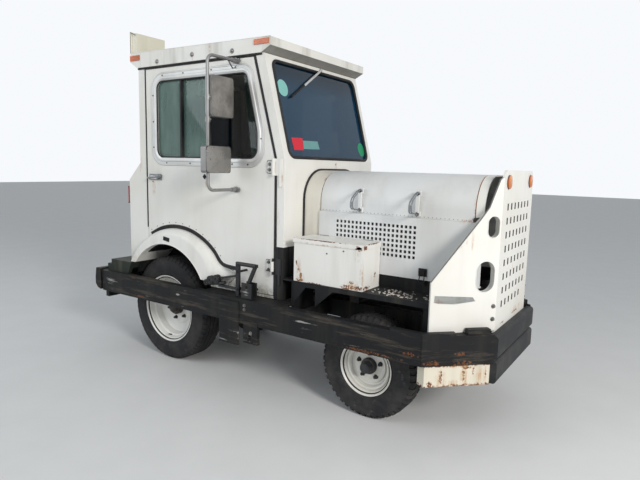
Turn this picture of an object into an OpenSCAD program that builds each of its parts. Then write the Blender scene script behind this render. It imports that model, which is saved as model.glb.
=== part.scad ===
// Airport baggage tug with a closed cab over the rear axle and a bonnet in front of it.
// X points forward, Y to the vehicle's left and Z up. The origin is on the ground at
// the centre of the outline. Lengths are in millimetres, and every x is measured
// from the rear axle, which lies at axle_x.

/* [Overall] */
// Thickness of the front rubber bumper
bumper_t = 40; // [36:1:50]
// Reach of the towing jaw behind the rail ends
jaw_reach = 80; // [76:1:90]
// Distance between the axles
wheelbase = 1485; // [1470:1:1500]

/* [Wheels] */
// Radius of the rear tyres
rear_tyre_r = 345; // [335:1:350]
// Radius of the rear rim flange
rear_flange_r = 223; // [215:1:228]
// Distance from the middle to the rear wheel's outer flange
rear_flange_y = 467; // [460:1:468]
// Width of the rear tyres
rear_tyre_w = 172; // [160:1:178]
// Radius of the front tyres
front_tyre_r = 274; // [268:1:278]
// Radius of the front rim flange
front_flange_r = 151; // [145:1:156]
// Distance from the middle to the front wheel's outer flange
front_flange_y = 437; // [430:1:440]
// Width of the front tyres
front_tyre_w = 146; // [140:1:150]
// Distance from the middle to the kingpins
kingpin_y = 300; // [296:1:302]

/* [Rails] */
// Distance from the middle to the outer face of the side rails
rail_y = 593; // [590:1:600]
// Thickness of the side rails
rail_t = 45; // [40:1:48]
// Height of the rail's lower edge
rail_z0 = 415; // [410:1:420]
// Height of the rail's upper edge
rail_z1 = 556; // [550:1:558]
// Length of the front chamfer along the rail
chamfer_run = 253; // [245:1:260]
// Distance from the middle to the chamfer's front end
chamfer_end_y = 345; // [340:1:350]
// Place of the rails' rear end
rail_rear_x = -560; // [-570:1:-550]

/* [Cab] */
// Distance from the middle to the outer face of the cab and its doors
cab_y = 485; // [482:1:488]
// Place of the cab's rear face
cab_x0 = -231; // [-235:1:-228]
// Place of the cab's upright front face
cab_x1 = 975; // [970:1:980]
// Place of the front face at the cab's top edge
cab_top_x = 826; // [822:1:830]
// Height of the knee between the windscreen and the upright front
knee_z = 1337; // [1330:1:1345]
// Height of the cab's top
cab_z1 = 1906; // [1900:1:1910]
// Height of the cab floor's upper face
floor_z = 575; // [572:1:578]
// Thickness of the cab's walls and doors
wall = 35; // [30:1:38]

/* [Doors] */
// Place of a door's rear edge
door_x0 = -157; // [-160:1:-150]
// Place of a door's front edge below the knee
door_x1 = 907; // [900:1:910]
// Place of a door's front edge at its top
door_top_x = 752; // [745:1:760]
// Height of a door's lower edge
door_z0 = 579; // [577:1:585]
// Height of a door's upper edge
door_z1 = 1890; // [1885:1:1892]
// Gap all round a door
door_gap = 5; // [5:0.5:7]

/* [Bonnet] */
// Half width of the bonnet lid
lid_y = 300; // [295:1:303]
// Height of the lid's lower edge
lid_z0 = 1061; // [1055:1:1066]
// Height of the bonnet's crown
lid_z1 = 1282; // [1275:1:1290]
// Rear end of the lid
lid_x0 = 1095; // [1090:1:1100]
// Length of the fixed nose in front of the lid
nose_length = 40; // [36:1:44]
// Height of the side panels' lower edge
side_z0 = 752; // [745:1:760]

/* [Front shield] */
// Distance from the front axle to the shield's front face
front_overhang = 601; // [598:1:604]
// Half width of the shield at the fold of its wings
shield_y = 280; // [276:1:284]
// Height of the shield's lower edge
shield_z0 = 541; // [538:1:545]
// Height of the shield's upper edge
shield_z1 = 1308; // [1300:1:1315]
// Thickness of the shield plate
shield_t = 12; // [10:1:14]

/* [Hidden] */
$fn = 64;

// Reach of the towing jaw behind the rear axle
rear_reach = jaw_reach - rail_rear_x;
// Place of the shield's front face, and the reach of the bumper on it
shield_x = wheelbase + front_overhang;
front_reach = shield_x + bumper_t;
// Place of the rear axle
axle_x = (rear_reach - front_reach) / 2;
// Seat gap between pieces that lie on each other
seat = 0.3;
// Amount by which a cutter passes the face it cuts
over = 1;
// Clearance between pieces that move past each other
clear = 6;

// Half width over the outer faces of the two frame beams
beam_y1 = 165;
// Half width between the two frame beams
beam_y0 = 105;
// Lower and upper face of the frame beams
beam_z = [430, 530];
// Upper face of the frame's outriggers
outrigger_z1 = 520;
// Inner face of the side rails
rail_in = rail_y - rail_t;
// Front end of the rail's chamfer, and the corner where it starts
chamfer_end_x = shield_x + 24;
chamfer_x = chamfer_end_x - chamfer_run;
// Inner end of the rail's chamfer, and the inner corner where it starts
chamfer_in_x = chamfer_end_x - rail_t * 1.41;
chamfer_mid_x = chamfer_x - rail_t * 0.41;
// Lower face of the cast weights under the chamfers
weight_z0 = 311;
// Front and rear cross beams
front_beam = [shield_x - 56, shield_x - seat];
rear_beam_x = -505;

// Centre of the wheel arch inside the fender, and its radius
arch_in = [65, rear_tyre_r + 75];
arch_in_r = rear_tyre_r + 30;
// Centre of the fender's outer edge, and its radius
arch_out = [108, arch_in[1]];
arch_out_r = rear_tyre_r + 120;
// Lower end of the fenders' outer band, in front of and behind the wheel
fender_z0 = 606;
fender_rear_z0 = 640;
// Face that the fenders stand out to
fender_y = 540;
// Inner wall of the wheel wells
well_y = 262;

// Thickness of the cab floor
floor_t = 15;
// Height of the seat cushions' lower face, over the tunnels of the wheel wells
seat_z = arch_in[1] + arch_in_r + 11;
// Front edge of the wheel wells in the cab floor
well_x1 = 420;

// Depth of the cab wall with the jambs behind the doors
jamb_depth = wall + clear + 8;

// Half width of what stands inside the cab between the jambs
trim_y = cab_y - jamb_depth - seat;

// Rear and front end, half width and rear top height of the roof cap
roof_x = [cab_x0 - 63, cab_top_x + 53];
roof_y = cab_y + 13;
roof_z1 = cab_z1 + 95;

// Slope of the windscreen panel as x per z
screen_slope = (cab_x1 - cab_top_x) / (cab_z1 - knee_z);
// Rear and lower steps of the body behind the cab
rear_body_x = -350;
rear_body_z = [fender_rear_z0, 1187, 1303];
// Upper face of the deck behind the rear wheels
deck_z = fender_rear_z0 - 4;

// Hinge line of the doors
hinge_x = door_x1 + 2;
hinge_y = cab_y + 14;
// Heights of the door hinges, and half the height of a door's knuckle
hinge_z = [747, 1296];
hinge_half = 28;

// Direction of the shield's right wing, and its length
wing_rear = [shield_x - 223, 540];
wing_length = sqrt(pow(shield_x - wing_rear[0], 2) + pow(wing_rear[1] - shield_y, 2));
wing_turn = 180 + atan2(wing_rear[1] - shield_y, shield_x - wing_rear[0]);

// Upper face and outer edge of the shelves over the front wheels
shelf_z = 688;
shelf_y = 500;
// Outer face of the bonnet's side panels
side_y = lid_y + 10;
// Front end of the bonnet, and front end of its lid
nose_x1 = shield_x - 76;
lid_x1 = nose_x1 - nose_length - door_gap;
// Lid hinge line of the bonnet, on its left side
lid_hinge = [lid_y + 8, lid_z0 + 6];

// Toolbox outline: x, y and z ranges, without its lid
box_x = [1057, 1482];
box_y = [-495, -side_y - 4];
box_z = [shelf_z + seat, 918];
box_t = 4;
// Hinge line of the toolbox lid, at its rear top edge
box_lid_hinge = [box_y[1], box_z[1] + seat + 5];

// Solid between pairs of x, y and z values
module span(x, y, z) {
    translate([x[0], y[0], z[0]]) cube([x[1] - x[0], y[1] - y[0], z[1] - z[0]]);
}

// Moves a piece from the rear axle's frame to the part's frame
module placed() {
    translate([axle_x, 0, 0]) children();
}

// Left-hand copy of a right-hand piece
module left_hand() {
    mirror([0, 1, 0]) children();
}

// Extrudes an outline drawn in x and z between two y values
module side_plate(y0, y1) {
    translate([0, y1, 0]) rotate([90, 0, 0]) linear_extrude(y1 - y0) children();
}

// Extrudes an outline drawn in y and z between two x values
module cross_plate(x0, x1) {
    translate([x0, 0, 0]) rotate([90, 0, 90]) linear_extrude(x1 - x0) children();
}

// Cylinder along y between two y values
module pin_y(x, z, r, y0, y1) {
    translate([x, y1, z]) rotate([90, 0, 0]) cylinder(r = r, h = y1 - y0);
}

// Cylinder along x between two x values
module pin_x(y, z, r, x0, x1) {
    translate([x0, y, z]) rotate([0, 90, 0]) cylinder(r = r, h = x1 - x0);
}

// Frame of two long beams with cross beams out to the side rails
module chassis_frame() {
    outrigger_x = [[-440, -380], [430, 490], [1030, 1090], [chamfer_x - 77, chamfer_x - 22]];
    color("#2b2b2b") placed() {
        for (side = [-1, 1]) {
            y = side * (beam_y0 + beam_y1) / 2;
            half = (beam_y1 - beam_y0) / 2;
            span([rear_beam_x, front_beam[0]], [y - half, y + half], beam_z);
        }
        for (x = outrigger_x) span(x, [-rail_in + seat, rail_in - seat], [440, outrigger_z1]);
        span(front_beam, [-chamfer_end_y + seat, chamfer_end_y - seat], [330, 536]);
        span([rear_beam_x - 20, rear_beam_x], [-rail_in + seat, rail_in - seat], [400, 530]);
    }
}

// Radius of the stub shafts that the wheels turn on
stub_r = 20;
// Radius of the rear axle's tube, and half the height of the front axle's beam
rear_tube_r = 42;
front_beam_h = 30;
// Depth of the wheel discs inside the outer flanges
rear_disc_in = 96;
front_disc_in = 58;
// Inner ends of the wheel hubs
rear_hub_y = rear_flange_y - rear_disc_in - 40;
front_hub_y = front_flange_y - front_disc_in - 40;

// Plan outline of the right side rail, with its front and rear chamfers
module rail_outline() {
    polygon([
        [rail_rear_x, -rail_y + 38],
        [rail_rear_x + 38, -rail_y],
        [chamfer_x, -rail_y],
        [chamfer_end_x, -chamfer_end_y],
        [chamfer_in_x, -chamfer_end_y],
        [chamfer_mid_x, -rail_in],
        [rail_rear_x, -rail_in]
    ]);
}

// Side rail with the step plate, the drop bracket and the gusset of its chamfer
module side_rail() {
    web = 12;
    step_x = [435, 1035];
    ledge_h = 13;
    ledge_x = 166;
    placed() {
        difference() {
            translate([0, 0, rail_z0]) linear_extrude(rail_z1 - rail_z0) rail_outline();
            span([rail_rear_x + 50, chamfer_x - 60], [-rail_y + web, -rail_in + over],
                 [rail_z0 + web, rail_z1 - web]);
        }
        span(step_x, [-rail_in - 1, -cab_y + 25], [rail_z1 - 8, rail_z1]);
        translate([0, 0, rail_z1 - over]) linear_extrude(ledge_h + over) polygon([
            [chamfer_x - ledge_x, -rail_y], [chamfer_x, -rail_y], [chamfer_x + 115, -rail_y + 113],
            [chamfer_x + 94, -rail_y + 134], [chamfer_x - 12, -rail_y + 30],
            [chamfer_x - ledge_x, -rail_y + 30]
        ]);
        span([600, 749], [-rail_y - 8, -rail_y], [285, 535]);
        span([604, 616], [-rail_y, -rail_y + 60], [285, rail_z0]);
        difference() {
            span([784, 887], [-rail_y - 4, -rail_y + 18], [310, 440]);
            pin_y(836, 350, 14, -rail_y - 10, -rail_y + 30);
        }
        translate([chamfer_end_x, -chamfer_end_y, 0]) rotate([0, 0, 224.4])
            span([20, 130], [-42, -8], [rail_z1 - over, rail_z1 + 24]);
    }
}

module side_rail_right() {
    color("#26282b") side_rail();
}

module side_rail_left() {
    color("#26282b") left_hand() side_rail();
}

// Rear bumper plate between the rail ends
module rear_bumper() {
    color("#2b2b2b") placed() difference() {
        span([rail_rear_x, rear_beam_x - 20 - seat], [-rail_in + seat, rail_in - seat], [360, rail_z1]);
        for (side = [-1, 1]) pin_x(side * 330, 460, 9, rail_rear_x - over, rear_beam_x);
    }
}

// Towing jaw with three slots on the rear bumper, bored for its pin
module towing_jaw() {
    jaw_y = 55;
    plate = 16;
    heights = [380, 430, 480, 530];
    color("#34363a") placed() {
        span([rail_rear_x - 16, rail_rear_x - seat], [-90, 90], [360, 550]);
        difference() {
            for (z = heights)
                span([-rear_reach, rail_rear_x - 15], [-jaw_y, jaw_y], [z - plate / 2, z + plate / 2]);
            translate([rail_rear_x - jaw_reach + 30, 0, heights[0] - plate])
                cylinder(d = 32, h = heights[3] - heights[0] + 2 * plate);
        }
    }
}

// Cast weights under the front chamfers
module front_weights() {
    color("#e4ddd0") placed() for (side = [0, 1]) mirror([0, side, 0])
        translate([0, 0, weight_z0]) linear_extrude(rail_z0 - seat - weight_z0) polygon([
            [chamfer_x + 6, -rail_y + 22],
            [chamfer_end_x - 16, -chamfer_end_y],
            [chamfer_in_x - 20, -chamfer_end_y],
            [chamfer_mid_x - 20, -rail_in + 5]
        ]);
}

// Rubber bumper of two lobes across the nose
module front_bumper() {
    lobes = [[318, 428], [436, 548]];
    r = 18;
    half = chamfer_end_y - seat;
    color("#3a3b3d") placed() {
        for (z = lobes) {
            span([shield_x + seat, front_reach - r], [-half, half], z);
            span([shield_x + seat, front_reach], [-half, half], [z[0] + r, z[1] - r]);
            for (edge = [z[0] + r, z[1] - r]) pin_y(front_reach - r, edge, r, -half, half);
        }
        span([shield_x + seat, front_reach - 14], [-half, half], [lobes[0][1] - over, lobes[1][0] + over]);
    }
}

// Upright oblong with round ends, drawn in two dimensions about its centre
module oblong(width, height) {
    square([width, height - width], center = true);
    for (side = [-1, 1]) translate([0, side * (height - width) / 2]) circle(d = width);
}

// Outline of a wing in its own plane: distance from the fold, then height
module wing_outline() {
    polygon([
        [0, rail_z1 + seat], [wing_length, rail_z1 + seat], [wing_length, 797], [106, 1083],
        [65, 1138], [48, 1184], [34, 1222], [18, 1264], [0, shield_z1 - 30]
    ]);
}

// Right wing with the collars of its two hand holes
module shield_wing() {
    // Columns: distance from the fold, height, width and height of the hole
    holes = [[40, 1048, 62, 102], [68, 816, 98, 148]];
    collar_t = 7;
    collar_h = 34;
    translate([shield_x, -shield_y, 0]) rotate([0, 0, wing_turn]) difference() {
        union() {
            side_plate(-shield_t, 0) wing_outline();
            for (h = holes) side_plate(-collar_h, 0) translate([h[0], h[1]])
                oblong(h[2] + 2 * collar_t, h[3] + 2 * collar_t);
        }
        for (h = holes) side_plate(-collar_h - over, over) translate([h[0], h[1]]) oblong(h[2], h[3]);
        side_plate(-collar_h - over, over) translate([-60, shield_z0]) square([60, 800]);
    }
}

// Front plate with its field of slots
module shield_plate() {
    top_y = shield_y - 8;
    corner = 38;
    columns = 7;
    rows = 8;
    pitch_y = 64;
    pitch_z = 67;
    slot_z = 1136;
    difference() {
        cross_plate(shield_x - shield_t, shield_x) {
            polygon([
                [-shield_y, shield_z0], [shield_y, shield_z0],
                [top_y, shield_z1 - corner], [-top_y, shield_z1 - corner]
            ]);
            translate([-top_y + corner, shield_z1 - corner - over])
                square([2 * (top_y - corner), corner + over]);
            for (side = [-1, 1]) translate([side * (top_y - corner), shield_z1 - corner]) circle(corner);
        }
        for (row = [0 : rows - 1], column = [0 : row < rows - 1 ? columns - 1 : columns - 2])
            span([shield_x - shield_t - over, shield_x + over],
                 [(column - 3) * pitch_y - 11, (column - 3) * pitch_y + 11],
                 [slot_z - row * pitch_z - 16, slot_z - row * pitch_z + 16]);
    }
}

// Thick front shield: the slotted plate and its two swept wings
module front_shield() {
    color("#ecebe6") placed() {
        shield_plate();
        shield_wing();
        left_hand() shield_wing();
    }
}

// Shelf over a front wheel, with its upright web and gussets
module shelf() {
    wing_gap = 26;
    back = shield_x - wing_gap;
    slope = (shield_x - wing_rear[0]) / (wing_rear[1] - shield_y);
    placed() {
        translate([0, 0, shelf_z - 6]) linear_extrude(6) polygon([
            [cab_x1 + seat, -side_y + 60], [cab_x1 + seat, -shelf_y],
            [back - (shelf_y - shield_y) * slope, -shelf_y],
            [back - (side_y - shield_y) * slope, -side_y],
            [back - (side_y - shield_y) * slope, -side_y + 60]
        ]);
        span([1060, back - (shelf_y - shield_y) * slope], [-shelf_y, -shelf_y + 5], [shelf_z - 26, shelf_z]);
        span([cab_x1 + seat, nose_x1 + 10], [-side_y + 6, -side_y + 40], [shelf_z - over, side_z0 - seat]);
        // Columns: place of a gusset's foot, and its reach along the shelf
        for (gusset = [[1062, 96], [1203, 133]]) side_plate(-shelf_y, -shelf_y + 6) polygon([
            [gusset[0], shelf_z - 5], [gusset[0] + gusset[1], shelf_z - 5], [gusset[0], rail_z1 + 10]
        ]);
        for (x = [1040, chamfer_x - 45])
            span([x, x + 22], [-shelf_y + 10, -side_y], [outrigger_z1 + seat, shelf_z - 5]);
    }
}

module shelf_right() {
    color("#1d1e20") shelf();
}

module shelf_left() {
    color("#1d1e20") left_hand() shelf();
}

// Engine and gearbox as one plain block
module engine_block() {
    block_x = cab_x1 + 205;
    color("#55585c") placed() {
        span([block_x, block_x + 620], [-200, 200], [600, 1000]);
        span([block_x - 60, block_x + over], [-90, 90], [600, 800]);
        for (x = [block_x + 40, block_x + 540])
            span([x, x + 60], [-beam_y1, beam_y1], [beam_z[1] + seat, 600 + over]);
    }
}

// Side panel of the bonnet with its field of square vent holes
module bonnet_side() {
    sheet = 6;
    ledge = 26;
    vent_x = [1204, 1676];
    vent_z = [852, 1020];
    columns = 20;
    rows = 7;
    hole = 15;
    step_x = (vent_x[1] - vent_x[0] - hole) / (columns - 1);
    step_z = (vent_z[1] - vent_z[0] - hole) / (rows - 1);
    placed() difference() {
        union() {
            span([lid_x0 - 4, nose_x1], [-side_y, -side_y + sheet], [side_z0, lid_z0]);
            span([lid_x0 - 4, nose_x1], [-side_y, -side_y + ledge], [lid_z0 - sheet, lid_z0]);
            span([lid_x0 - 4, nose_x1], [-side_y, -side_y + ledge], [side_z0, side_z0 + sheet]);
        }
        for (i = [0 : columns - 1], j = [0 : rows - 1])
            span([vent_x[0] + i * step_x, vent_x[0] + i * step_x + hole],
                 [-side_y - over, -side_y + sheet + over],
                 [vent_z[0] + j * step_z, vent_z[0] + j * step_z + hole]);
    }
}

module bonnet_side_right() {
    color("#e3e4e3") bonnet_side();
}

module bonnet_side_left() {
    color("#e3e4e3") left_hand() bonnet_side();
}

// Solid under the bonnet's skin, inset from it by a thickness
module bonnet_form(x0, x1, z0, inset) {
    r = 165 - inset;
    half = lid_y - inset;
    crown = lid_z1 - inset;
    span([x0, x1], [-half, half], [z0, crown - r]);
    span([x0, x1], [-half + r, half - r], [crown - r - over, crown]);
    for (side = [-1, 1]) pin_x(side * (half - r), crown - r, r, x0, x1);
}

// Curved sheet of the bonnet between two x values, down to z0
module bonnet_skin(x0, x1, z0) {
    sheet = 6;
    difference() {
        bonnet_form(x0, x1, z0, 0);
        bonnet_form(x0 - over, x1 + over, z0 - over, sheet);
        span([x0 - over, x1 + over], [-lid_y - over, lid_y + over], [z0 - 400, z0]);
    }
}

module bonnet_rear_band() {
    color("#e9e4d6") placed() bonnet_skin(cab_x1 + seat, lid_x0 - 5, side_z0);
}

module bonnet_nose() {
    color("#e9e8e3") placed() bonnet_skin(nose_x1 - nose_length, nose_x1, lid_z0 + seat);
}

// Lid that hinges on its left edge, with two over-centre latches on the right
module bonnet_lid() {
    latch_x = [lid_x0 + 257, lid_x0 + 585];
    hinge_at = [lid_x0 + 155, lid_x1 - 165];
    color("#dfe1e0") placed() {
        bonnet_skin(lid_x0, lid_x1, lid_z0 + seat);
        for (x = latch_x) {
            span([x - 12, x + 12], [-lid_y - 10, -lid_y + 1], [lid_z0 + 109, lid_z0 + 135]);
            span([x - 8, x + 8], [-lid_y - 22, -lid_y - 8], [lid_z0 + 21, lid_z0 + 129]);
            span([x - 12, x + 12], [-lid_y - 14, -lid_y + 1], [lid_z0 + 9, lid_z0 + 35]);
        }
        for (x = hinge_at) pin_x(lid_hinge[0], lid_hinge[1], 5, x, x + 90);
        for (x = hinge_at)
            span([x, x + 90], [lid_y - 2, lid_hinge[0]], [lid_hinge[1] - 2, lid_hinge[1] + 4]);
    }
}

// Open sheet box on the right-hand shelf
module toolbox() {
    color("#e8e6e0") placed() difference() {
        span(box_x, box_y, box_z);
        span([box_x[0] + box_t, box_x[1] - box_t], [box_y[0] + box_t, box_y[1] - box_t],
             [box_z[0] + box_t, box_z[1] + over]);
    }
}

// Lid of the toolbox, hinged along its bonnet side
module toolbox_lid() {
    lip = 5;
    skirt = 24;
    top = box_lid_hinge[1];
    color("#e8e6e0") placed() difference() {
        span([box_x[0] - lip, box_x[1] + lip], [box_y[0] - lip, box_y[1]], [top - skirt, top]);
        span([box_x[0] - seat, box_x[1] + seat], [box_y[0] - seat, box_y[1] + over],
             [top - skirt - over, box_z[1] + seat]);
    }
}

// Outline of the cab's side: drawn in x and z, inset by t
module cab_outline(t) {
    polygon([
        [cab_x0 + t, floor_z - floor_t - t], [cab_x0 + t, cab_z1 - t],
        [cab_top_x - t * 1.05, cab_z1 - t], [cab_x1 - t, knee_z - t * 0.2],
        [cab_x1 - t, floor_z - floor_t - t]
    ]);
}

// Outline of a door, grown by g all round
module door_outline(g) {
    difference() {
        polygon([
            [door_x0 - g, door_z0 - g], [door_x0 - g, door_z1 + g],
            [door_top_x + g * 0.8, door_z1 + g], [door_x1 + g, knee_z + g * 0.2],
            [door_x1 + g, door_z0 - g]
        ]);
        fender_outline(10 - g);
    }
}

// Outer edge of the fender, grown by g, with its pointed front end
module fender_outline(g) {
    translate(arch_out) circle(arch_out_r + g);
    polygon([
        [150, arch_out[1] + 464 + g], [368 + g / 2, arch_out[1] + 423 + g],
        [490 + g, arch_out[1] + 287 + g], [600 + g, 672 + g],
        [618 + g, 650], [560 + g, fender_z0 - g], [490, 420], [150, 420]
    ]);
}

// Rounded opening between two x and z values
module rounded_opening(x0, x1, z0, z1, r) {
    translate([x0 + r, z0]) square([x1 - x0 - 2 * r, z1 - z0]);
    translate([x0, z0 + r]) square([x1 - x0, z1 - z0 - 2 * r]);
    for (x = [x0 + r, x1 - r], z = [z0 + r, z1 - r]) translate([x, z]) circle(r);
}

// Moves a flat piece drawn in y and z onto the sloping windscreen panel
module on_screen() {
    translate([cab_top_x, 0, cab_z1]) rotate([0, -atan(screen_slope), 0]) children();
}

// Half width and heights of the windscreen glass, measured down the slope
screen_y = 432;
screen_span = [-574, -30];

// Opening of the windscreen, in the panel's own y and z
module screen_opening(g) {
    r = 45;
    height = screen_span[1] - screen_span[0] + 2 * g;
    translate([-screen_y - g + r, screen_span[0] - g]) square([2 * (screen_y + g - r), height]);
    translate([-screen_y - g, screen_span[0] - g + r]) square([2 * (screen_y + g), height - 2 * r]);
    for (side = [-1, 1], z = [screen_span[0] - g + r, screen_span[1] + g - r])
        translate([side * (screen_y + g - r), z]) circle(r);
}

// Rear window opening in y and z
module rear_opening(g) {
    rounded_opening(-360 - g, 360 + g, 1370 - g, 1800 + g, 50);
}

// Rim behind a door that its edge closes on
module door_jamb() {
    difference() {
        side_plate(-cab_y + wall - over, -cab_y + jamb_depth) door_outline(door_gap + 8);
        side_plate(-cab_y + wall - 2 * over, -cab_y + wall + clear) door_outline(door_gap);
        side_plate(-cab_y + wall, -cab_y + jamb_depth + over) door_outline(-16);
    }
}

// Fixed halves of the door hinges on the front post, with their pins
module hinge_post() {
    for (z = hinge_z) {
        for (end = [[-46, -hinge_half - 0.5], [hinge_half + 0.5, 46]]) {
            translate([hinge_x, -hinge_y, z + end[0]]) cylinder(r = 9, h = end[1] - end[0]);
            span([hinge_x, hinge_x + 9], [-hinge_y, -cab_y], [z + end[0], z + end[1]]);
        }
        translate([hinge_x, -hinge_y, z - 46]) cylinder(r = 3.9, h = 92);
        span([hinge_x + 4, cab_x1 - 12], [-cab_y - 5, -cab_y + over], [z - 46, z + 46]);
    }
}

// Hollow cab with its door, windscreen and rear window openings
module cab_shell() {
    color("#edeae2") placed() {
        difference() {
            union() {
                difference() {
                    side_plate(-cab_y, cab_y) cab_outline(0);
                    side_plate(-cab_y + wall, cab_y - wall) cab_outline(wall);
                    side_plate(-cab_y - over, cab_y + over) door_outline(door_gap);
                }
                door_jamb();
                left_hand() door_jamb();
            }
            for (side = [0, 1]) mirror([0, side, 0])
                side_plate(-cab_y - over, -well_y) translate(arch_in) circle(arch_in_r + 6 + seat);
            on_screen() cross_plate(-wall - 10, over * 4) screen_opening(0);
            cross_plate(cab_x0 - over, cab_x0 + wall + over) rear_opening(0);
        }
        hinge_post();
        left_hand() hinge_post();
    }
}

// Cab floor between the wheel wells
module cab_floor() {
    color("#3b3a38") placed() difference() {
        span([cab_x0 + wall + seat, cab_x1 - wall - seat], [-trim_y, trim_y], [floor_z - floor_t, floor_z]);
        for (side = [0, 1]) mirror([0, side, 0])
            span([cab_x0, well_x1], [-cab_y, -well_y + seat], [floor_z - floor_t - over, floor_z + over]);
    }
}

// Roof cap with its cut corners and front visor
module roof_cap() {
    color("#e9e7df") placed() side_plate(-roof_y, roof_y) polygon([
        [cab_x0 + 1, cab_z1 + seat], [roof_x[0], cab_z1 + 40], [roof_x[0], roof_z1],
        [roof_x[1], cab_z1 + 78], [roof_x[1], cab_z1 + 33], [cab_top_x - 11, cab_z1 + seat]
    ]);
}

// Body behind the cab over the rear wheels
module rear_body() {
    color("#e6e4dd") placed() difference() {
        side_plate(-cab_y, cab_y) polygon([
            [cab_x0 - seat, rear_body_z[0]], [rear_body_x, rear_body_z[0]],
            [rear_body_x, rear_body_z[1]], [cab_x0 - seat, rear_body_z[2]]
        ]);
        for (side = [0, 1]) mirror([0, side, 0])
            side_plate(-cab_y - over, -well_y) translate(arch_in) circle(arch_in_r + 6 + seat);
    }
}

// Folded deck behind the rear wheels, on top of the rails
module rear_deck() {
    skin = 8;
    color("#33362f") placed() difference() {
        side_plate(-rail_in - 6, rail_in + 6) polygon([
            [-520, rail_z1 + seat], [-520, 602], [-478, 602], [-478, deck_z],
            [-262, deck_z], [-296, rail_z1 + seat]
        ]);
        side_plate(-rail_in + 20, rail_in - 20) polygon([
            [-520 + skin, 400], [-520 + skin, 602 - skin], [-478 + skin, 602 - skin],
            [-478 + skin, deck_z - skin], [-276, deck_z - skin], [-306, 400]
        ]);
    }
}

// Fender with the tunnel and inner wall of its wheel well
module fender() {
    skin = 6;
    placed() difference() {
        union() {
            side_plate(-fender_y + 18, -cab_y - seat) fender_outline(0);
            side_plate(-fender_y, -fender_y + 18) fender_outline(-14);
            side_plate(-cab_y - over, -well_y) translate(arch_in) circle(arch_in_r + skin);
        }
        side_plate(-fender_y - over, -well_y - skin) translate(arch_in) circle(arch_in_r);
        span([-900, 900], [-fender_y - over, -cab_y + over], [-100, fender_z0]);
        span([-900, 900], [-cab_y, 0], [-100, floor_z - floor_t]);
        span([-900, 0], [-fender_y - over, 0], [-100, fender_rear_z0]);
    }
}

module fender_right() {
    color("#eceae3") fender();
}

module fender_left() {
    color("#eceae3") left_hand() fender();
}

module windscreen() {
    color("#2d3c55") placed() on_screen() cross_plate(-16, -8) screen_opening(-seat);
}

module rear_window() {
    color("#3c4a5a") placed() cross_plate(cab_x0 + 12, cab_x0 + 20) rear_opening(-seat);
}

// Wiper with its spindle over the windscreen
module wiper() {
    color("#26272a") placed() on_screen() {
        pin_x(44, -16, 9, seat, 16);
        translate([9, 44, -16]) rotate([120, 0, 0]) span([0, 5], [-6, 6], [0, 250]);
        translate([-7, -172, -141]) rotate([120, 0, 0]) span([0, 17], [-5, 5], [-165, 165]);
    }
}

// Sign box on the roof's rear corner, with its thin backing plate
module roof_box() {
    color("#e8e2cc") placed() {
        span([roof_x[0] - 2, roof_x[0] + 44], [-480, -252], [roof_z1 + seat, roof_z1 + 127]);
        span([roof_x[0] - 9, roof_x[0] - 2], [-490, -244], [roof_z1 + seat, roof_z1 + 137]);
    }
}

// Amber marker lamps on the roof's corners and on the shield
module marker_lamps() {
    color("#d8622a") placed() {
        for (side = [-1, 1]) {
            y = side > 0 ? [roof_y + seat, roof_y + 6] : [-roof_y - 6, -roof_y - seat];
            span([roof_x[1] - 111, roof_x[1] - 11], y, [cab_z1 + 42, cab_z1 + 70]);
            span([roof_x[0] + 4, roof_x[0] + 94], y, [cab_z1 + 46, cab_z1 + 78]);
            pin_x(side * 207, shield_z1 - 55, 32, shield_x + seat, shield_x + 8);
        }
    }
}

module tail_lamps() {
    color("#a01c1c") placed() for (side = [-1, 1])
        span([rear_body_x - 24, rear_body_x - seat], [side * 430 - 50, side * 430 + 50], [1030, 1140]);
}

// One seat: base, cushion and back
module seat_at(y) {
    cushion_z = [seat_z, seat_z + 80];
    back_z = [seat_z + 60, seat_z + 554];
    side_in = sign(y) * 30;
    span([260, 600], [y - side_in - 75, y - side_in + 75], [floor_z + seat, cushion_z[0] + over]);
    hull() for (x = [245, 645], side = [-1, 1])
        translate([x, y + side * 170, cushion_z[0]])
            cylinder(r = 30, h = cushion_z[1] - cushion_z[0], $fn = 32);
    hull() for (x = [175, 215], side = [-1, 1], z = back_z)
        translate([x - (z - back_z[0]) * 0.12, y + side * 165, z]) sphere(r = 35, $fn = 24);
}

module seats() {
    color("#2f3033") placed() for (y = [-208, 208]) seat_at(y);
}

// Column of the steering wheel: its top end, its lean and its length
column_top = [700, 208, 1240];
column_lean = -35;

// Dashboard under the windscreen, with the fixed steering column
module dashboard() {
    color("#303236") placed() {
        span([cab_x1 - wall - 130, cab_x1 - wall - seat], [-trim_y, trim_y], [1080, 1250]);
        span([cab_x1 - wall - 60, cab_x1 - wall - seat], [-trim_y, trim_y], [floor_z + seat, 1081]);
        translate(column_top) rotate([0, column_lean, 0]) translate([0, 0, -240]) cylinder(r = 24, h = 230);
    }
}

// Steering wheel on its column
module steering_wheel() {
    rim_r = 185;
    color("#1f2023") placed() translate(column_top) rotate([0, column_lean, 0]) {
        rotate_extrude() translate([rim_r, 0]) circle(13, $fn = 24);
        translate([0, 0, -9.5]) cylinder(r = 34, h = 24);
        for (turn = [90, 210, 330]) rotate([0, 0, turn]) rotate([0, 90, 0]) cylinder(r = 8, h = rim_r);
    }
}

// Window opening of a door, grown by g
module door_opening(g) {
    r = 60;
    difference() {
        rounded_opening(-62 - g, 792 + g, 1332 - g, 1820 + g, r + g);
        polygon([
            [706 + g * 1.1, 1900], [686 + g * 1.1, 1821 + g], [706 + g * 1.1, 1821 + g],
            [794 + g, 1480], [900, 1480], [900, 1900]
        ]);
    }
}

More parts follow.
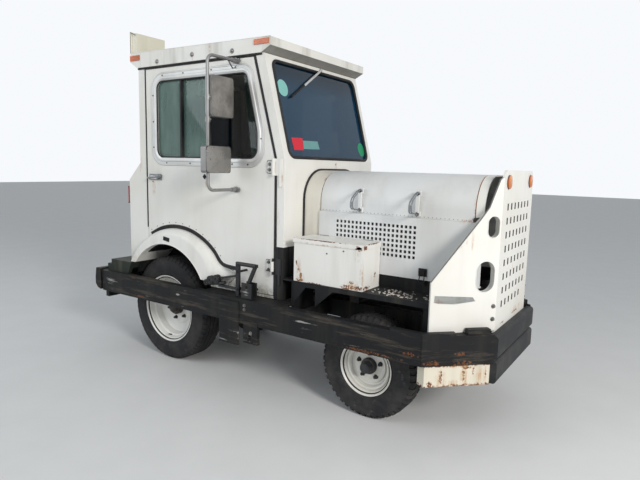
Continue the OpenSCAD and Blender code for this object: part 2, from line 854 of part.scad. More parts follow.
// Door panel with hinges at its front edge and a handle
module door() {
    placed() {
        difference() {
            side_plate(-cab_y, -cab_y + wall) door_outline(0);
            side_plate(-cab_y - over, -cab_y + wall + over) door_opening(0);
        }
        for (z = hinge_z) difference() {
            union() {
                span([hinge_x - 50, hinge_x - 1], [-cab_y - 5, -cab_y], [z - hinge_half, z + hinge_half]);
                translate([hinge_x, -hinge_y, z - hinge_half]) cylinder(r = 9, h = 2 * hinge_half);
                span([hinge_x - 9, hinge_x - 1], [-hinge_y, -cab_y], [z - hinge_half, z + hinge_half]);
            }
            translate([hinge_x, -hinge_y, z - hinge_half - over])
                cylinder(r = 4, h = 2 * hinge_half + 2 * over);
        }
        span([-105, -50], [-cab_y - 24, -cab_y - 16], [1200, 1222]);
        for (x = [-98, -64]) span([x, x + 10], [-cab_y - 17, -cab_y], [1202, 1220]);
    }
}

module door_right() {
    color("#eae9e4") door();
}

module door_left() {
    color("#eae9e4") left_hand() door();
}

// Aluminium window frame with its two panes
module door_window() {
    placed() {
        difference() {
            side_plate(-cab_y - 5, -cab_y - seat) door_opening(44);
            side_plate(-cab_y - 6, -cab_y) door_opening(-6);
        }
        difference() {
            side_plate(-cab_y - 1, -cab_y + wall) door_opening(-seat);
            side_plate(-cab_y - 2, -cab_y + wall + 1) door_opening(-8);
        }
        side_plate(-cab_y + 12, -cab_y + 18) door_opening(-7);
        span([158, 170], [-cab_y + 8, -cab_y + 22], [1338, 1814]);
    }
}

module door_window_right() {
    color("#b9bcbe") door_window();
}

module door_window_left() {
    color("#b9bcbe") left_hand() door_window();
}

// Tube loop standing out from the door, with two mirror heads
module mirrors() {
    loop_x = 630;
    loop_y = 712;
    tube = 9;
    loop_z = [1162, 1877];
    bend = 40;
    // Corner centres in y and z, and depth, of the upper and the lower head
    heads = [[[-690, -550], [1572, 1760], 46], [[-726, -564], [1270, 1388], 40]];
    placed() {
        for (z = loop_z) {
            pin_y(loop_x, z, tube, -loop_y + bend, -cab_y - 10);
            span([loop_x - 24, loop_x + 24], [-cab_y - 12, -cab_y - seat], [z - 12, z + 12]);
        }
        translate([loop_x, -loop_y, loop_z[0] + bend])
            cylinder(r = tube, h = loop_z[1] - loop_z[0] - 2 * bend);
        translate([loop_x, -loop_y + bend, loop_z[0] + bend]) rotate([0, 90, 0]) rotate([0, 0, -90])
            rotate_extrude(angle = 90) translate([bend, 0]) circle(tube, $fn = 24);
        translate([loop_x, -loop_y + bend, loop_z[1] - bend]) rotate([0, 90, 0]) rotate([0, 0, 180])
            rotate_extrude(angle = 90) translate([bend, 0]) circle(tube, $fn = 24);
        for (head = heads) hull() for (y = head[0], z = head[1])
            translate([loop_x - 26, y, z]) rotate([0, 90, 0]) cylinder(r = 14, h = head[2], $fn = 32);
    }
}

module mirrors_right() {
    color("#77797b") mirrors();
}

module mirrors_left() {
    color("#77797b") left_hand() mirrors();
}

// Bars, rollers and clevis on the foot of the right door, over the rail
module side_linkage() {
    y = [-566, -550];
    post_x = [697, 721];
    clevis_x = [757, 832];
    pin_x0 = 790;
    foot_z = rail_z1 + clear;
    color("#1f2022") placed() {
        // Loop of a post, a top bar and a slanting leg
        span(post_x, y, [foot_z, 757]);
        span([post_x[0], 852], y, [739, 757]);
        translate([842, y[0], 752]) rotate([0, 205.5, 0]) translate([-9, 0, 0]) cube([18, 16, 130]);
        // Clevis on the foot of the leg
        for (side = [[-584, -577], [-542, -535]]) span(clevis_x, side, [foot_z, 648]);
        pin_y(pin_x0, 626, 9, -588, -531);
        pin_y(pin_x0, 597, 8, -582, -cab_y - seat);
        // Bars from the post to the shaft with its three rollers
        span([560, post_x[0] + over], y, [594, 606]);
        translate([556, y[0], 636]) rotate([0, -13, 0]) cube([148, 16, 12]);
        translate([472, -559, 600]) rotate([0, 81, 0]) cylinder(r = 11, h = 138);
        for (roller = [[500, 626, 20], [548, 638, 20], [467, 608, 14]])
            pin_y(roller[0], roller[1], roller[2], -576, -547);
        for (z = [600, 700]) pin_y(709, z, 7, -560, -cab_y - seat);
    }
}

// Front axle beam with its kingpin forks
module front_axle() {
    z = front_tyre_r;
    fork = 62;
    color("#232427") placed() {
        span([wheelbase - 30, wheelbase + 30], [-kingpin_y + 42, kingpin_y - 42],
             [z - front_beam_h, z + front_beam_h]);
        for (side = [-1, 1]) {
            back_y = side > 0 ? [kingpin_y - 60, kingpin_y - 42] : [-kingpin_y + 42, -kingpin_y + 60];
            arm_y = side > 0 ? [kingpin_y - 60, kingpin_y] : [-kingpin_y, -kingpin_y + 60];
            span([wheelbase - 24, wheelbase + 24], back_y, [z - fork - 14, z + fork + 14]);
            for (end = [-1, 1]) {
                level = z + end * (fork + 7);
                span([wheelbase - 24, wheelbase + 24], arm_y, [level - 7, level + 7]);
                translate([wheelbase, side * kingpin_y, level - 7]) cylinder(r = 24, h = 14);
            }
            translate([wheelbase, side * kingpin_y, z - fork - 14]) cylinder(r = 13, h = 2 * fork + 28);
        }
    }
}

// Steering knuckle: kingpin boss and stub axle
module knuckle() {
    z = front_tyre_r;
    boss = 56;
    placed() difference() {
        union() {
            translate([wheelbase, -kingpin_y, z - boss]) cylinder(r = 26, h = 2 * boss);
            pin_y(wheelbase, z, 34, -front_hub_y + 0.5, -kingpin_y);
            pin_y(wheelbase, z, stub_r, -front_flange_y + 22, -kingpin_y - 30);
        }
        translate([wheelbase, -kingpin_y, z - boss - over]) cylinder(r = 13.4, h = 2 * boss + 2 * over);
    }
}

module knuckle_right() {
    color("#3a3b3d") knuckle();
}

module knuckle_left() {
    color("#3a3b3d") left_hand() knuckle();
}

// Wheel rim turned about the y axis, on its outer side at -y
// depth is how far the disc lies inside the outer flange
module rim(flange_r, width, depth, hub_r, bore_r, studs, stud_r) {
    t = 6;
    well = flange_r - 16;
    difference() {
        rotate([90, 0, 0]) rotate_extrude($fn = 96) {
            translate([well - t, 0]) square([t, width]);
            for (z = [0, width - t]) translate([well - t, z]) square([flange_r - well + t, t]);
            translate([bore_r, width - depth - 8]) square([well - bore_r - 2, 8]);
            translate([bore_r, width - depth - 40]) square([hub_r - bore_r, 90]);
        }
        for (i = [0 : studs - 1]) rotate([0, i * 360 / studs, 0])
            translate([stud_r, 0, 0]) rotate([90, 0, 0]) translate([0, 0, width - depth - 12])
                cylinder(r = 7, h = 16);
    }
}

// Tyre profile turned about the y axis, with a flat tread and round shoulders
module tyre(outer_r, flange_r, width) {
    bead = flange_r - 16 + seat;
    foot = 8.4;
    half = [
        [bead, foot], [flange_r + 0.6, foot], [flange_r + 7, 1.5], [flange_r + 26, 0],
        [outer_r - 30, 2], [outer_r - 9, 9], [outer_r, 24]
    ];
    rotate([90, 0, 0]) rotate_extrude($fn = 96)
        polygon(concat(half, [for (i = [len(half) - 1 : -1 : 0]) [half[i][0], width - half[i][1]]]));
}

module rear_rim() {
    placed() translate([0, -rear_flange_y + rear_tyre_w - 4, rear_tyre_r])
        rim(rear_flange_r, rear_tyre_w - 4, rear_disc_in, 48, stub_r + 0.05, 6, 84);
}

module rear_tyre() {
    placed() translate([0, -rear_flange_y + rear_tyre_w - 2, rear_tyre_r])
        tyre(rear_tyre_r, rear_flange_r, rear_tyre_w);
}

module front_rim() {
    placed() translate([wheelbase, -front_flange_y + front_tyre_w - 4, front_tyre_r])
        rim(front_flange_r, front_tyre_w - 4, front_disc_in, 40, stub_r + 0.05, 5, 66);
}

module front_tyre() {
    placed() translate([wheelbase, -front_flange_y + front_tyre_w - 2, front_tyre_r])
        tyre(front_tyre_r, front_flange_r, front_tyre_w);
}

module rear_rim_right() {
    color("#ebe9e2") rear_rim();
}

module rear_rim_left() {
    color("#ebe9e2") left_hand() rear_rim();
}

module rear_tyre_right() {
    color("#2a2a2b") rear_tyre();
}

module rear_tyre_left() {
    color("#2a2a2b") left_hand() rear_tyre();
}

module front_rim_right() {
    color("#ebe9e2") front_rim();
}

module front_rim_left() {
    color("#ebe9e2") left_hand() front_rim();
}

module front_tyre_right() {
    color("#2a2a2b") front_tyre();
}

module front_tyre_left() {
    color("#2a2a2b") left_hand() front_tyre();
}

// Rear axle tube with its differential and stub shafts
module rear_axle() {
    z = rear_tyre_r;
    color("#232427") placed() {
        pin_y(0, z, rear_tube_r, -rear_hub_y + 0.5, rear_hub_y - 0.5);
        pin_y(0, z, stub_r, -rear_flange_y + 60, rear_flange_y - 60);
        translate([0, 0, z]) sphere(r = beam_y0 - 5, $fn = 48);
        pin_x(0, z, 50, 0, 170);
    }
}

// Leaf spring packs under the axles, with their shackles up to the frame beams
module leaf_springs() {
    color("#1e1f21") placed() for (side = [-1, 1]) {
        y = side * (beam_y0 + beam_y1) / 2;
        for (axle = [[0, rear_tyre_r - rear_tube_r], [wheelbase, front_tyre_r - front_beam_h]]) {
            span([axle[0] - 330, axle[0] + 330], [y - 26, y + 26], [axle[1] - 9, axle[1] - seat]);
            span([axle[0] - 230, axle[0] + 230], [y - 26, y + 26], [axle[1] - 20, axle[1] - 8]);
            for (x = [axle[0] - 315, axle[0] + 315])
                span([x - 15, x + 15], [y - 22, y + 22], [axle[1] - 5, beam_z[0] - seat]);
        }
    }
}

chassis_frame();
side_rail_right();
side_rail_left();
rear_bumper();
towing_jaw();
front_weights();
front_bumper();
front_shield();
shelf_right();
shelf_left();
engine_block();
bonnet_side_right();
bonnet_side_left();
bonnet_rear_band();
bonnet_nose();
bonnet_lid();
toolbox();
toolbox_lid();
cab_shell();
cab_floor();
roof_cap();
rear_body();
rear_deck();
fender_right();
fender_left();
windscreen();
rear_window();
wiper();
roof_box();
marker_lamps();
tail_lamps();
seats();
dashboard();
steering_wheel();
door_right();
door_left();
door_window_right();
door_window_left();
mirrors_right();
mirrors_left();
side_linkage();
front_axle();
rear_axle();
leaf_springs();
knuckle_right();
knuckle_left();
front_rim_right();
front_rim_left();
front_tyre_right();
front_tyre_left();
rear_rim_right();
rear_rim_left();
rear_tyre_right();
rear_tyre_left();
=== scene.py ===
"""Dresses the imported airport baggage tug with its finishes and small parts, and sets up the stage.

Places are given in millimetres from the rear axle, as in the part's source, and at() turns them
into metres in the part's frame.
"""

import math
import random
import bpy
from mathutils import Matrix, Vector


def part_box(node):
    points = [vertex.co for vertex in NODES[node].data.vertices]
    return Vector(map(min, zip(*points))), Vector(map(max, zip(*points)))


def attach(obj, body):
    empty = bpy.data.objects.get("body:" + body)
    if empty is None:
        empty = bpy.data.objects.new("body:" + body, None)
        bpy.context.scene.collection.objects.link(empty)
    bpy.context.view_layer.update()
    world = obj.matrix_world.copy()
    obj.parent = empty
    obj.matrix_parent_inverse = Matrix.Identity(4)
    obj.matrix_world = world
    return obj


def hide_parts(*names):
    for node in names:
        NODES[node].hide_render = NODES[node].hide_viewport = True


bl_info = {
    "name": "Airport baggage tug",
    "version": (1, 0, 0),
    "blender": (4, 5, 0),
    "location": "3D View > Sidebar > Tug",
    "description": "Finishes, small parts, lights and camera for a weathered airport baggage tug",
    "category": "Add Mesh",
}

import bmesh
import bpy
from bpy.props import FloatProperty, FloatVectorProperty, IntProperty, PointerProperty
from mathutils import Matrix, Vector

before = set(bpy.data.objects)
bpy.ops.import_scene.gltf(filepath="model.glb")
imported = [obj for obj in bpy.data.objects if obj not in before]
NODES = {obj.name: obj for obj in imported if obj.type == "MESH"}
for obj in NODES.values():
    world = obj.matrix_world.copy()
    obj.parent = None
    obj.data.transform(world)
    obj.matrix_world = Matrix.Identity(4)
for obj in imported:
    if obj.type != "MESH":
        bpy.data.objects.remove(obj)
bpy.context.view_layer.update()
WHEEL_LOW, WHEEL_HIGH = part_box("rear_tyre_right")
AXLE_X = (WHEEL_LOW.x + WHEEL_HIGH.x) / 2

# Places in millimetres: the axles, the right door's and right rail's outer faces, and the shield's
# front with the fold and the run of its right wing
WHEELBASE = 1485
REAR_AXLE_Z = 345
FRONT_AXLE_Z = 274
DOOR_Y = -485
RAIL_Y = -593
SHIELD_X = 2086
FOLD_Y = -280
WING_RUN = (223, 260)
WING_OUT = Vector((WING_RUN[1], -WING_RUN[0], 0)).normalized()

# Upper and lower edge of the windscreen panel, as x and z
SCREEN_TOP = (826, 1906)
SCREEN_FOOT = (975, 1337)
SCREEN_TILT = math.atan((SCREEN_FOOT[0] - SCREEN_TOP[0]) / (SCREEN_TOP[1] - SCREEN_FOOT[1]))

# Bodies that there are two of, one on each side
PAIRED_BODIES = ("door", "rear_wheel", "front_wheel")

# Doubles closer than this are merged, in metres
MERGE = 0.00001

# The finished materials by name
PALETTE = {}


# Settings


def colour(name, description, default):
    return FloatVectorProperty(
        name=name, description=description, default=default, subtype="COLOR", size=3, min=0, max=1
    )


def length(name, description, default):
    return FloatProperty(
        name=name, description=description, default=default, min=0.0005, unit="LENGTH", subtype="DISTANCE"
    )


class TugColours(bpy.types.PropertyGroup):
    """Colours of the tug's finishes."""

    white: colour("Cab white", "Paint of the cab, doors, fenders and shield", (0.80, 0.79, 0.75))
    bonnet: colour("Bonnet grey", "Paint of the bonnet's lid and sides", (0.70, 0.71, 0.71))
    cream: colour("Cream", "Plastic of the sign box", (0.80, 0.77, 0.65))
    black: colour("Black", "Paint of the rails, brackets and frame", (0.014, 0.0145, 0.016))
    deck: colour("Deck grey", "Paint of the deck behind the rear wheels", (0.022, 0.027, 0.022))
    weight: colour("Weight paint", "Old paint of the cast front weights", (0.74, 0.69, 0.58))
    rust: colour("Rust", "Rust in chips, drips and along edges", (0.20, 0.066, 0.020))
    soil: colour("Grime", "Grime in streaks and on low surfaces", (0.185, 0.175, 0.115))
    rubber: colour("Rubber", "Bumper, seals and tyres", (0.022, 0.022, 0.024))
    screen: colour("Windscreen tint", "Tint of the windscreen", (0.006, 0.040, 0.082))
    pane: colour("Door glass tint", "Tint of the door windows", (0.014, 0.030, 0.026))
    amber: colour("Amber lens", "Marker lamps", (0.62, 0.12, 0.012))
    red: colour("Red lens", "Tail lamps", (0.42, 0.008, 0.014))
    vinyl: colour("Seat vinyl", "Seat covers", (0.030, 0.031, 0.034))


class TugSizes(bpy.types.PropertyGroup):
    """Sizes of the tug's small parts."""

    bolt: length("Bolt radius", "Half width of a bolt head over its corners", 0.0095)
    rivet: length("Rivet radius", "Radius of a rivet head", 0.0038)
    seal: length("Seal radius", "Radius of the rubber seals round the glass", 0.008)
    groove: length("Tread depth", "Depth of the grooves in the tyres", 0.0065)
    lugs: IntProperty(name="Shoulder lugs", description="Lugs round a front tyre", default=46, min=12,
                      max=90)
    debris: IntProperty(name="Debris", description="Flakes lying on the right shelf", default=90, min=0,
                        max=300)


class TugStage(bpy.types.PropertyGroup):
    """Lights of the studio."""

    key: FloatProperty(name="Key light", description="Power of the large front light", default=285, min=0,
                       unit="POWER")
    fill: FloatProperty(name="Fill light", description="Power of the side light", default=105, min=0,
                        unit="POWER")
    sky: FloatProperty(name="Sky", description="Strength of the light from all round", default=0.40, min=0)
    floor: colour("Floor", "Colour of the floor", (0.80, 0.80, 0.79))


# Places and meshes


def at(x, y, z):
    """Point in the part's frame, in metres, from millimetres measured from the rear axle."""
    return Vector((AXLE_X + x / 1000, y / 1000, z / 1000))


def on_screen(y, slope, out=0.0):
    """Place in mm on the sloping windscreen panel; slope runs up from the panel's top edge."""
    sine, cosine = math.sin(SCREEN_TILT), math.cos(SCREEN_TILT)
    x, z = SCREEN_TOP
    return (x - slope * sine + out * cosine, y, z + slope * cosine + out * sine)


def on_wing(along, z, out=0.0):
    """Place in mm on the shield's right wing; along is the distance back from the fold."""
    ax, ay = (-side / math.hypot(*WING_RUN) for side in WING_RUN)
    return (SHIELD_X + along * ax - out * ay, FOLD_Y + along * ay + out * ax, z)


def add_block(bm, low, high, turn=None):
    """Adds a block between two corners in mm, turned about its centre by the matrix turn."""
    a, b = at(*low), at(*high)
    matrix = Matrix.Translation((a + b) / 2) @ (turn or Matrix()) @ Matrix.Diagonal((*(b - a), 1))
    return bmesh.ops.create_cube(bm, size=1, matrix=matrix)["verts"]


def pointing(a, b):
    """Matrix that turns the Z axis to point from a to b."""
    return (b - a).to_track_quat("Z", "Y").to_matrix().to_4x4()


def add_rod(bm, start, end, radius, sides=16, end_radius=None):
    """Adds a round or many-sided bar between two places in mm."""
    a, b = at(*start), at(*end)
    tip = radius if end_radius is None else end_radius
    bmesh.ops.create_cone(
        bm, cap_ends=True, segments=sides, radius1=radius / 1000, radius2=tip / 1000,
        depth=(b - a).length, matrix=Matrix.Translation((a + b) / 2) @ pointing(a, b),
    )


def add_dome(bm, base, tip, radius, sides=16):
    """Adds a domed cap from its flat base at base to its crown at tip."""
    a, b = at(*base), at(*tip)
    size = Matrix.Diagonal((radius / 1000, radius / 1000, (b - a).length, 1))
    part = bmesh.new()
    bmesh.ops.create_uvsphere(part, u_segments=sides, v_segments=8, radius=1)
    geometry = part.verts[:] + part.edges[:] + part.faces[:]
    cut = bmesh.ops.bisect_plane(
        part, geom=geometry, plane_co=(0, 0, 0), plane_no=(0, 0, -1), clear_outer=True,
    )
    edges = [e for e in cut["geom_cut"] if isinstance(e, bmesh.types.BMEdge)]
    bmesh.ops.holes_fill(part, edges=edges)
    bmesh.ops.transform(part, matrix=Matrix.Translation(a) @ pointing(a, b) @ size, verts=part.verts)
    absorb(bm, part)


def add_bolt(bm, base, direction, radius, height=6, washer=True):
    """Adds a hexagon bolt head with its washer, standing out from base along direction."""
    way = Vector(direction).normalized()
    foot = Vector(base)
    if washer:
        add_rod(bm, foot, foot + way * 2, radius * 1.25, 20)
    add_rod(bm, foot, foot + way * (height + 2), radius, 6)
    add_rod(bm, foot, foot + way * (height + 5), radius * 0.45, 12)


def absorb(bm, part):
    """Moves the faces of part into bm."""
    mesh = bpy.data.meshes.new("part")
    part.to_mesh(mesh)
    part.free()
    bm.from_mesh(mesh)
    bpy.data.meshes.remove(mesh)


def add_tube(bm, places, radius, closed=False, sides=8):
    """Sweeps a round bar along places in mm."""
    curve = bpy.data.curves.new("path", "CURVE")
    curve.dimensions = "3D"
    curve.bevel_depth = radius / 1000
    curve.bevel_resolution = max(0, sides // 2 - 2)
    curve.use_fill_caps = not closed
    spline = curve.splines.new("POLY")
    spline.points.add(len(places) - 1)
    for point, place in zip(spline.points, places):
        point.co = (*at(*place), 1)
    spline.use_cyclic_u = closed
    holder = bpy.data.objects.new("path", curve)
    mesh = bpy.data.meshes.new_from_object(holder)
    bm.from_mesh(mesh)
    bpy.data.objects.remove(holder)
    bpy.data.curves.remove(curve)
    bpy.data.meshes.remove(mesh)


def ring(centre, radii, count):
    """Places round an ellipse, as a list of pairs."""
    turns = [math.tau * i / count for i in range(count)]
    return [(centre[0] + radii[0] * math.cos(t), centre[1] + radii[1] * math.sin(t)) for t in turns]


def rounded_loop(low, high, radius, steps=6):
    """Corner-rounded rectangle in two dimensions, as a list of pairs."""
    (x0, y0), (x1, y1) = low, high
    corners = ((x1 - radius, y1 - radius, 0), (x0 + radius, y1 - radius, 90),
               (x0 + radius, y0 + radius, 180), (x1 - radius, y0 + radius, 270))
    loop = []
    for cx, cy, start in corners:
        for step in range(steps + 1):
            turn = math.radians(start + 90 * step / steps)
            loop.append((cx + radius * math.cos(turn), cy + radius * math.sin(turn)))
    return loop


def rounded_polygon(corners, radii, steps=6):
    """Outline through corners, each rounded by its radius, as a list of pairs."""
    loop = []
    for i, (corner, radius) in enumerate(zip(corners, radii)):
        here = Vector(corner)
        before = (Vector(corners[i - 1]) - here).normalized()
        after = (Vector(corners[(i + 1) % len(corners)]) - here).normalized()
        half = before.angle(after) / 2
        centre = here + (before + after).normalized() * (radius / math.sin(half))
        start = here + before * (radius / math.tan(half)) - centre
        end = here + after * (radius / math.tan(half)) - centre
        for step in range(steps + 1):
            loop.append(tuple(centre + start.lerp(end, step / steps).normalized() * radius))
    return loop


def upright(line, y):
    """Places in mm of a line of x and z that stands at y."""
    return [(x, y, z) for x, z in line]


def add_strips(bm, rows, closed=False):
    """Joins rows of places in mm into strips of faces.

    closed joins each row's ends, and the last row to the first.
    """
    rows = [[bm.verts.new(at(*place)) for place in row] for row in rows]
    pairs = list(zip(rows, rows[1:])) + ([(rows[-1], rows[0])] if closed else [])
    for one, two in pairs:
        last = len(one) if closed else len(one) - 1
        for i in range(last):
            j = (i + 1) % len(one)
            bm.faces.new((one[i], one[j], two[j], two[i]))
    return rows


def add_bar(bm, lines):
    """Closed bar with the lines, each a list of places in mm, as its long edges."""
    rows = add_strips(bm, [*lines, lines[0]])
    for end in (0, -1):
        bm.faces.new([row[end] for row in rows[:-1]])
    bmesh.ops.remove_doubles(bm, verts=bm.verts, dist=MERGE)


def add_band(bm, inner, outer, near, far):
    """Flat band between two lines of x and z in mm, from the depth near to the depth far along y."""
    corners = ((inner, near), (outer, near), (outer, far), (inner, far))
    add_bar(bm, [upright(line, y) for line, y in corners])


def add_prism(bm, outline, near, far):
    """Plate with an outline of x and z in mm, from the depth near to the depth far along y."""
    rows = add_strips(bm, [upright([*outline, outline[0]], y) for y in (near, far)])
    for row in rows:
        bm.faces.new(row[:-1])
    bmesh.ops.remove_doubles(bm, verts=bm.verts, dist=MERGE)


def add_sheet(bm, places, thickness):
    """Thin flat sheet with its outline through the places in mm; thickness is in metres."""
    face = bm.faces.new([bm.verts.new(at(*place)) for place in places])
    bmesh.ops.solidify(bm, geom=[face], thickness=thickness)


def smooth_line(corners, count=5):
    """Places of x and z on a smooth curve through the corners."""
    ends = [Vector(place) for place in (corners[0], *corners, corners[-1])]
    line = []
    for a, b, c, d in zip(ends, ends[1:], ends[2:], ends[3:]):
        for t in (step / count for step in range(count)):
            line.append(0.5 * (2 * b + (c - a) * t + (2 * a - 5 * b + 4 * c - d) * t ** 2
                               + (3 * b - a - 3 * c + d) * t ** 3))
    return line + [ends[-1]]


def around(centre, turns):
    """Places of x and z at pairs of an angle in degrees and a radius in mm about the centre."""
    x, z = centre
    return [(x + r * math.cos(math.radians(a)), z + r * math.sin(math.radians(a))) for a, r in turns]


def both(name):
    """The names of the right and left one of a pair."""
    return name + "_right", name + "_left"


def make_piece(name, bm, body, slot, finish, angle=35, bevel=0.0):
    """Turns bm into a piece that rides on body and has the finish of that name.

    Edges sharper than angle in degrees stay sharp, and bevel is the width of their rounding in mm.
    """
    bmesh.ops.recalc_face_normals(bm, faces=bm.faces)
    mesh = bpy.data.meshes.new(name)
    bm.to_mesh(mesh)
    bm.free()
    mesh.materials.append(PALETTE[finish])
    piece = bpy.data.objects.new(name, mesh)
    bpy.context.scene.collection.objects.link(piece)
    mesh.shade_smooth()
    mesh.set_sharp_from_angle(angle=math.radians(angle))
    if bevel:
        rounding = piece.modifiers.new("Rounded edges", "BEVEL")
        rounding.width = bevel / 1000
        rounding.segments = 2
        rounding.limit_method = "ANGLE"
    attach(piece, body)
    return piece


def make_pair(name, bm, body, slot, finish, **options):
    """Makes the right-hand piece from bm, and its mirror image on the left."""
    mirrored = bm.copy()
    bmesh.ops.scale(mirrored, vec=(1, -1, 1), verts=mirrored.verts)
    bodies = both(body) if body in PAIRED_BODIES else (body, body)
    return [make_piece(side, part, carrier, slot, finish, **options)
            for side, part, carrier in zip(both(name), (bm, mirrored), bodies)]


# Finishes


class Finish:
    """A material in the making: adds nodes and links what they are given."""

    def __init__(self, name):
        material = bpy.data.materials.new(name)
        material.use_nodes = True
        PALETTE[name] = material
        self.tree = material.node_tree
        self.shader = self.tree.nodes["Principled BSDF"]
        self.place = self.add("ShaderNodeTexCoord").outputs["Object"]

    def feed(self, socket, value):
        """Links a value that is a node's output, or sets it."""
        if isinstance(value, bpy.types.NodeSocket):
            self.tree.links.new(value, socket)
        elif isinstance(value, (tuple, list)) and len(value) == 3 and len(socket.default_value) == 4:
            socket.default_value = (*value, 1)
        else:
            socket.default_value = value

    def add(self, kind, inputs=None, **settings):
        """Adds a node with its inputs fed and its settings set."""
        made = self.tree.nodes.new(kind)
        for key, value in settings.items():
            setattr(made, key, value)
        for key, value in (inputs or {}).items():
            self.feed(made.inputs[key], value)
        return made

    def maths(self, operation, first, second=0.0, clamp=False):
        """Result of a Math node."""
        made = self.add("ShaderNodeMath", {0: first, 1: second}, operation=operation, use_clamp=clamp)
        return made.outputs[0]

    def noise(self, scale, stretch=(1, 1, 1), detail=4.0, rough=0.55):
        """Noise on the object's own places; stretch below 1 draws it out along that axis."""
        moved = self.add("ShaderNodeMapping", {"Vector": self.place, "Scale": stretch})
        made = self.add("ShaderNodeTexNoise", {
            "Vector": moved.outputs[0], "Scale": scale, "Detail": detail, "Roughness": rough})
        return made.outputs["Fac"]

    def rise(self, value, low, high, top=1.0):
        """0 up to low, rising to top at high."""
        return self.add("ShaderNodeMapRange", {
            "Value": value, "From Min": low, "From Max": high, "To Max": top}).outputs[0]

    def mix(self, factor, under, upper):
        """Colour that goes from under to upper with the factor."""
        return self.add("ShaderNodeMix", {0: factor, 6: under, 7: upper}, data_type="RGBA").outputs[2]

    def axis(self, index):
        """The place along x, y or z, in metres."""
        return self.add("ShaderNodeSeparateXYZ", {0: self.place}).outputs[index]

    def near(self, spots, edges=()):
        """1 in the middle of each spot or at each edge's far value, falling to 0 outside.

        A spot is its middle and its reach along x, y and z, in mm. An edge is an axis, the place
        along it where the level is 0 and the place where it is 1.
        """
        total = None
        for x, y, z, *size in spots:
            inputs = {"Vector": self.place, "Location": tuple(at(x, y, z)),
                      "Scale": tuple(s / 1000 for s in size)}
            moved = self.add("ShaderNodeMapping", inputs, vector_type="TEXTURE")
            away = self.add("ShaderNodeVectorMath", {0: moved.outputs[0]},
                            operation="LENGTH").outputs["Value"]
            total = away if total is None else self.maths("MINIMUM", total, away)
        level = 0.0 if total is None else self.maths("SUBTRACT", 1.0, total, clamp=True)
        for index, clean, worn in edges:
            shift = AXLE_X if index == 0 else 0.0
            band = self.rise(self.axis(index), clean / 1000 + shift, worn / 1000 + shift)
            level = self.maths("MAXIMUM", level, band)
        return level

    def bump(self, height, distance=0.001, strength=0.5):
        """Gives the surface its relief."""
        made = self.add("ShaderNodeBump", {"Height": height, "Distance": distance, "Strength": strength})
        self.feed(self.shader.inputs["Normal"], made.outputs[0])

    def finish(self, base, rough, metal=0.0, coat=0.0):
        """Feeds the shader's main sockets."""
        self.feed(self.shader.inputs["Base Color"], base)
        self.feed(self.shader.inputs["Roughness"], rough)
        self.shader.inputs["Metallic"].default_value = metal
        self.shader.inputs["Coat Weight"].default_value = coat


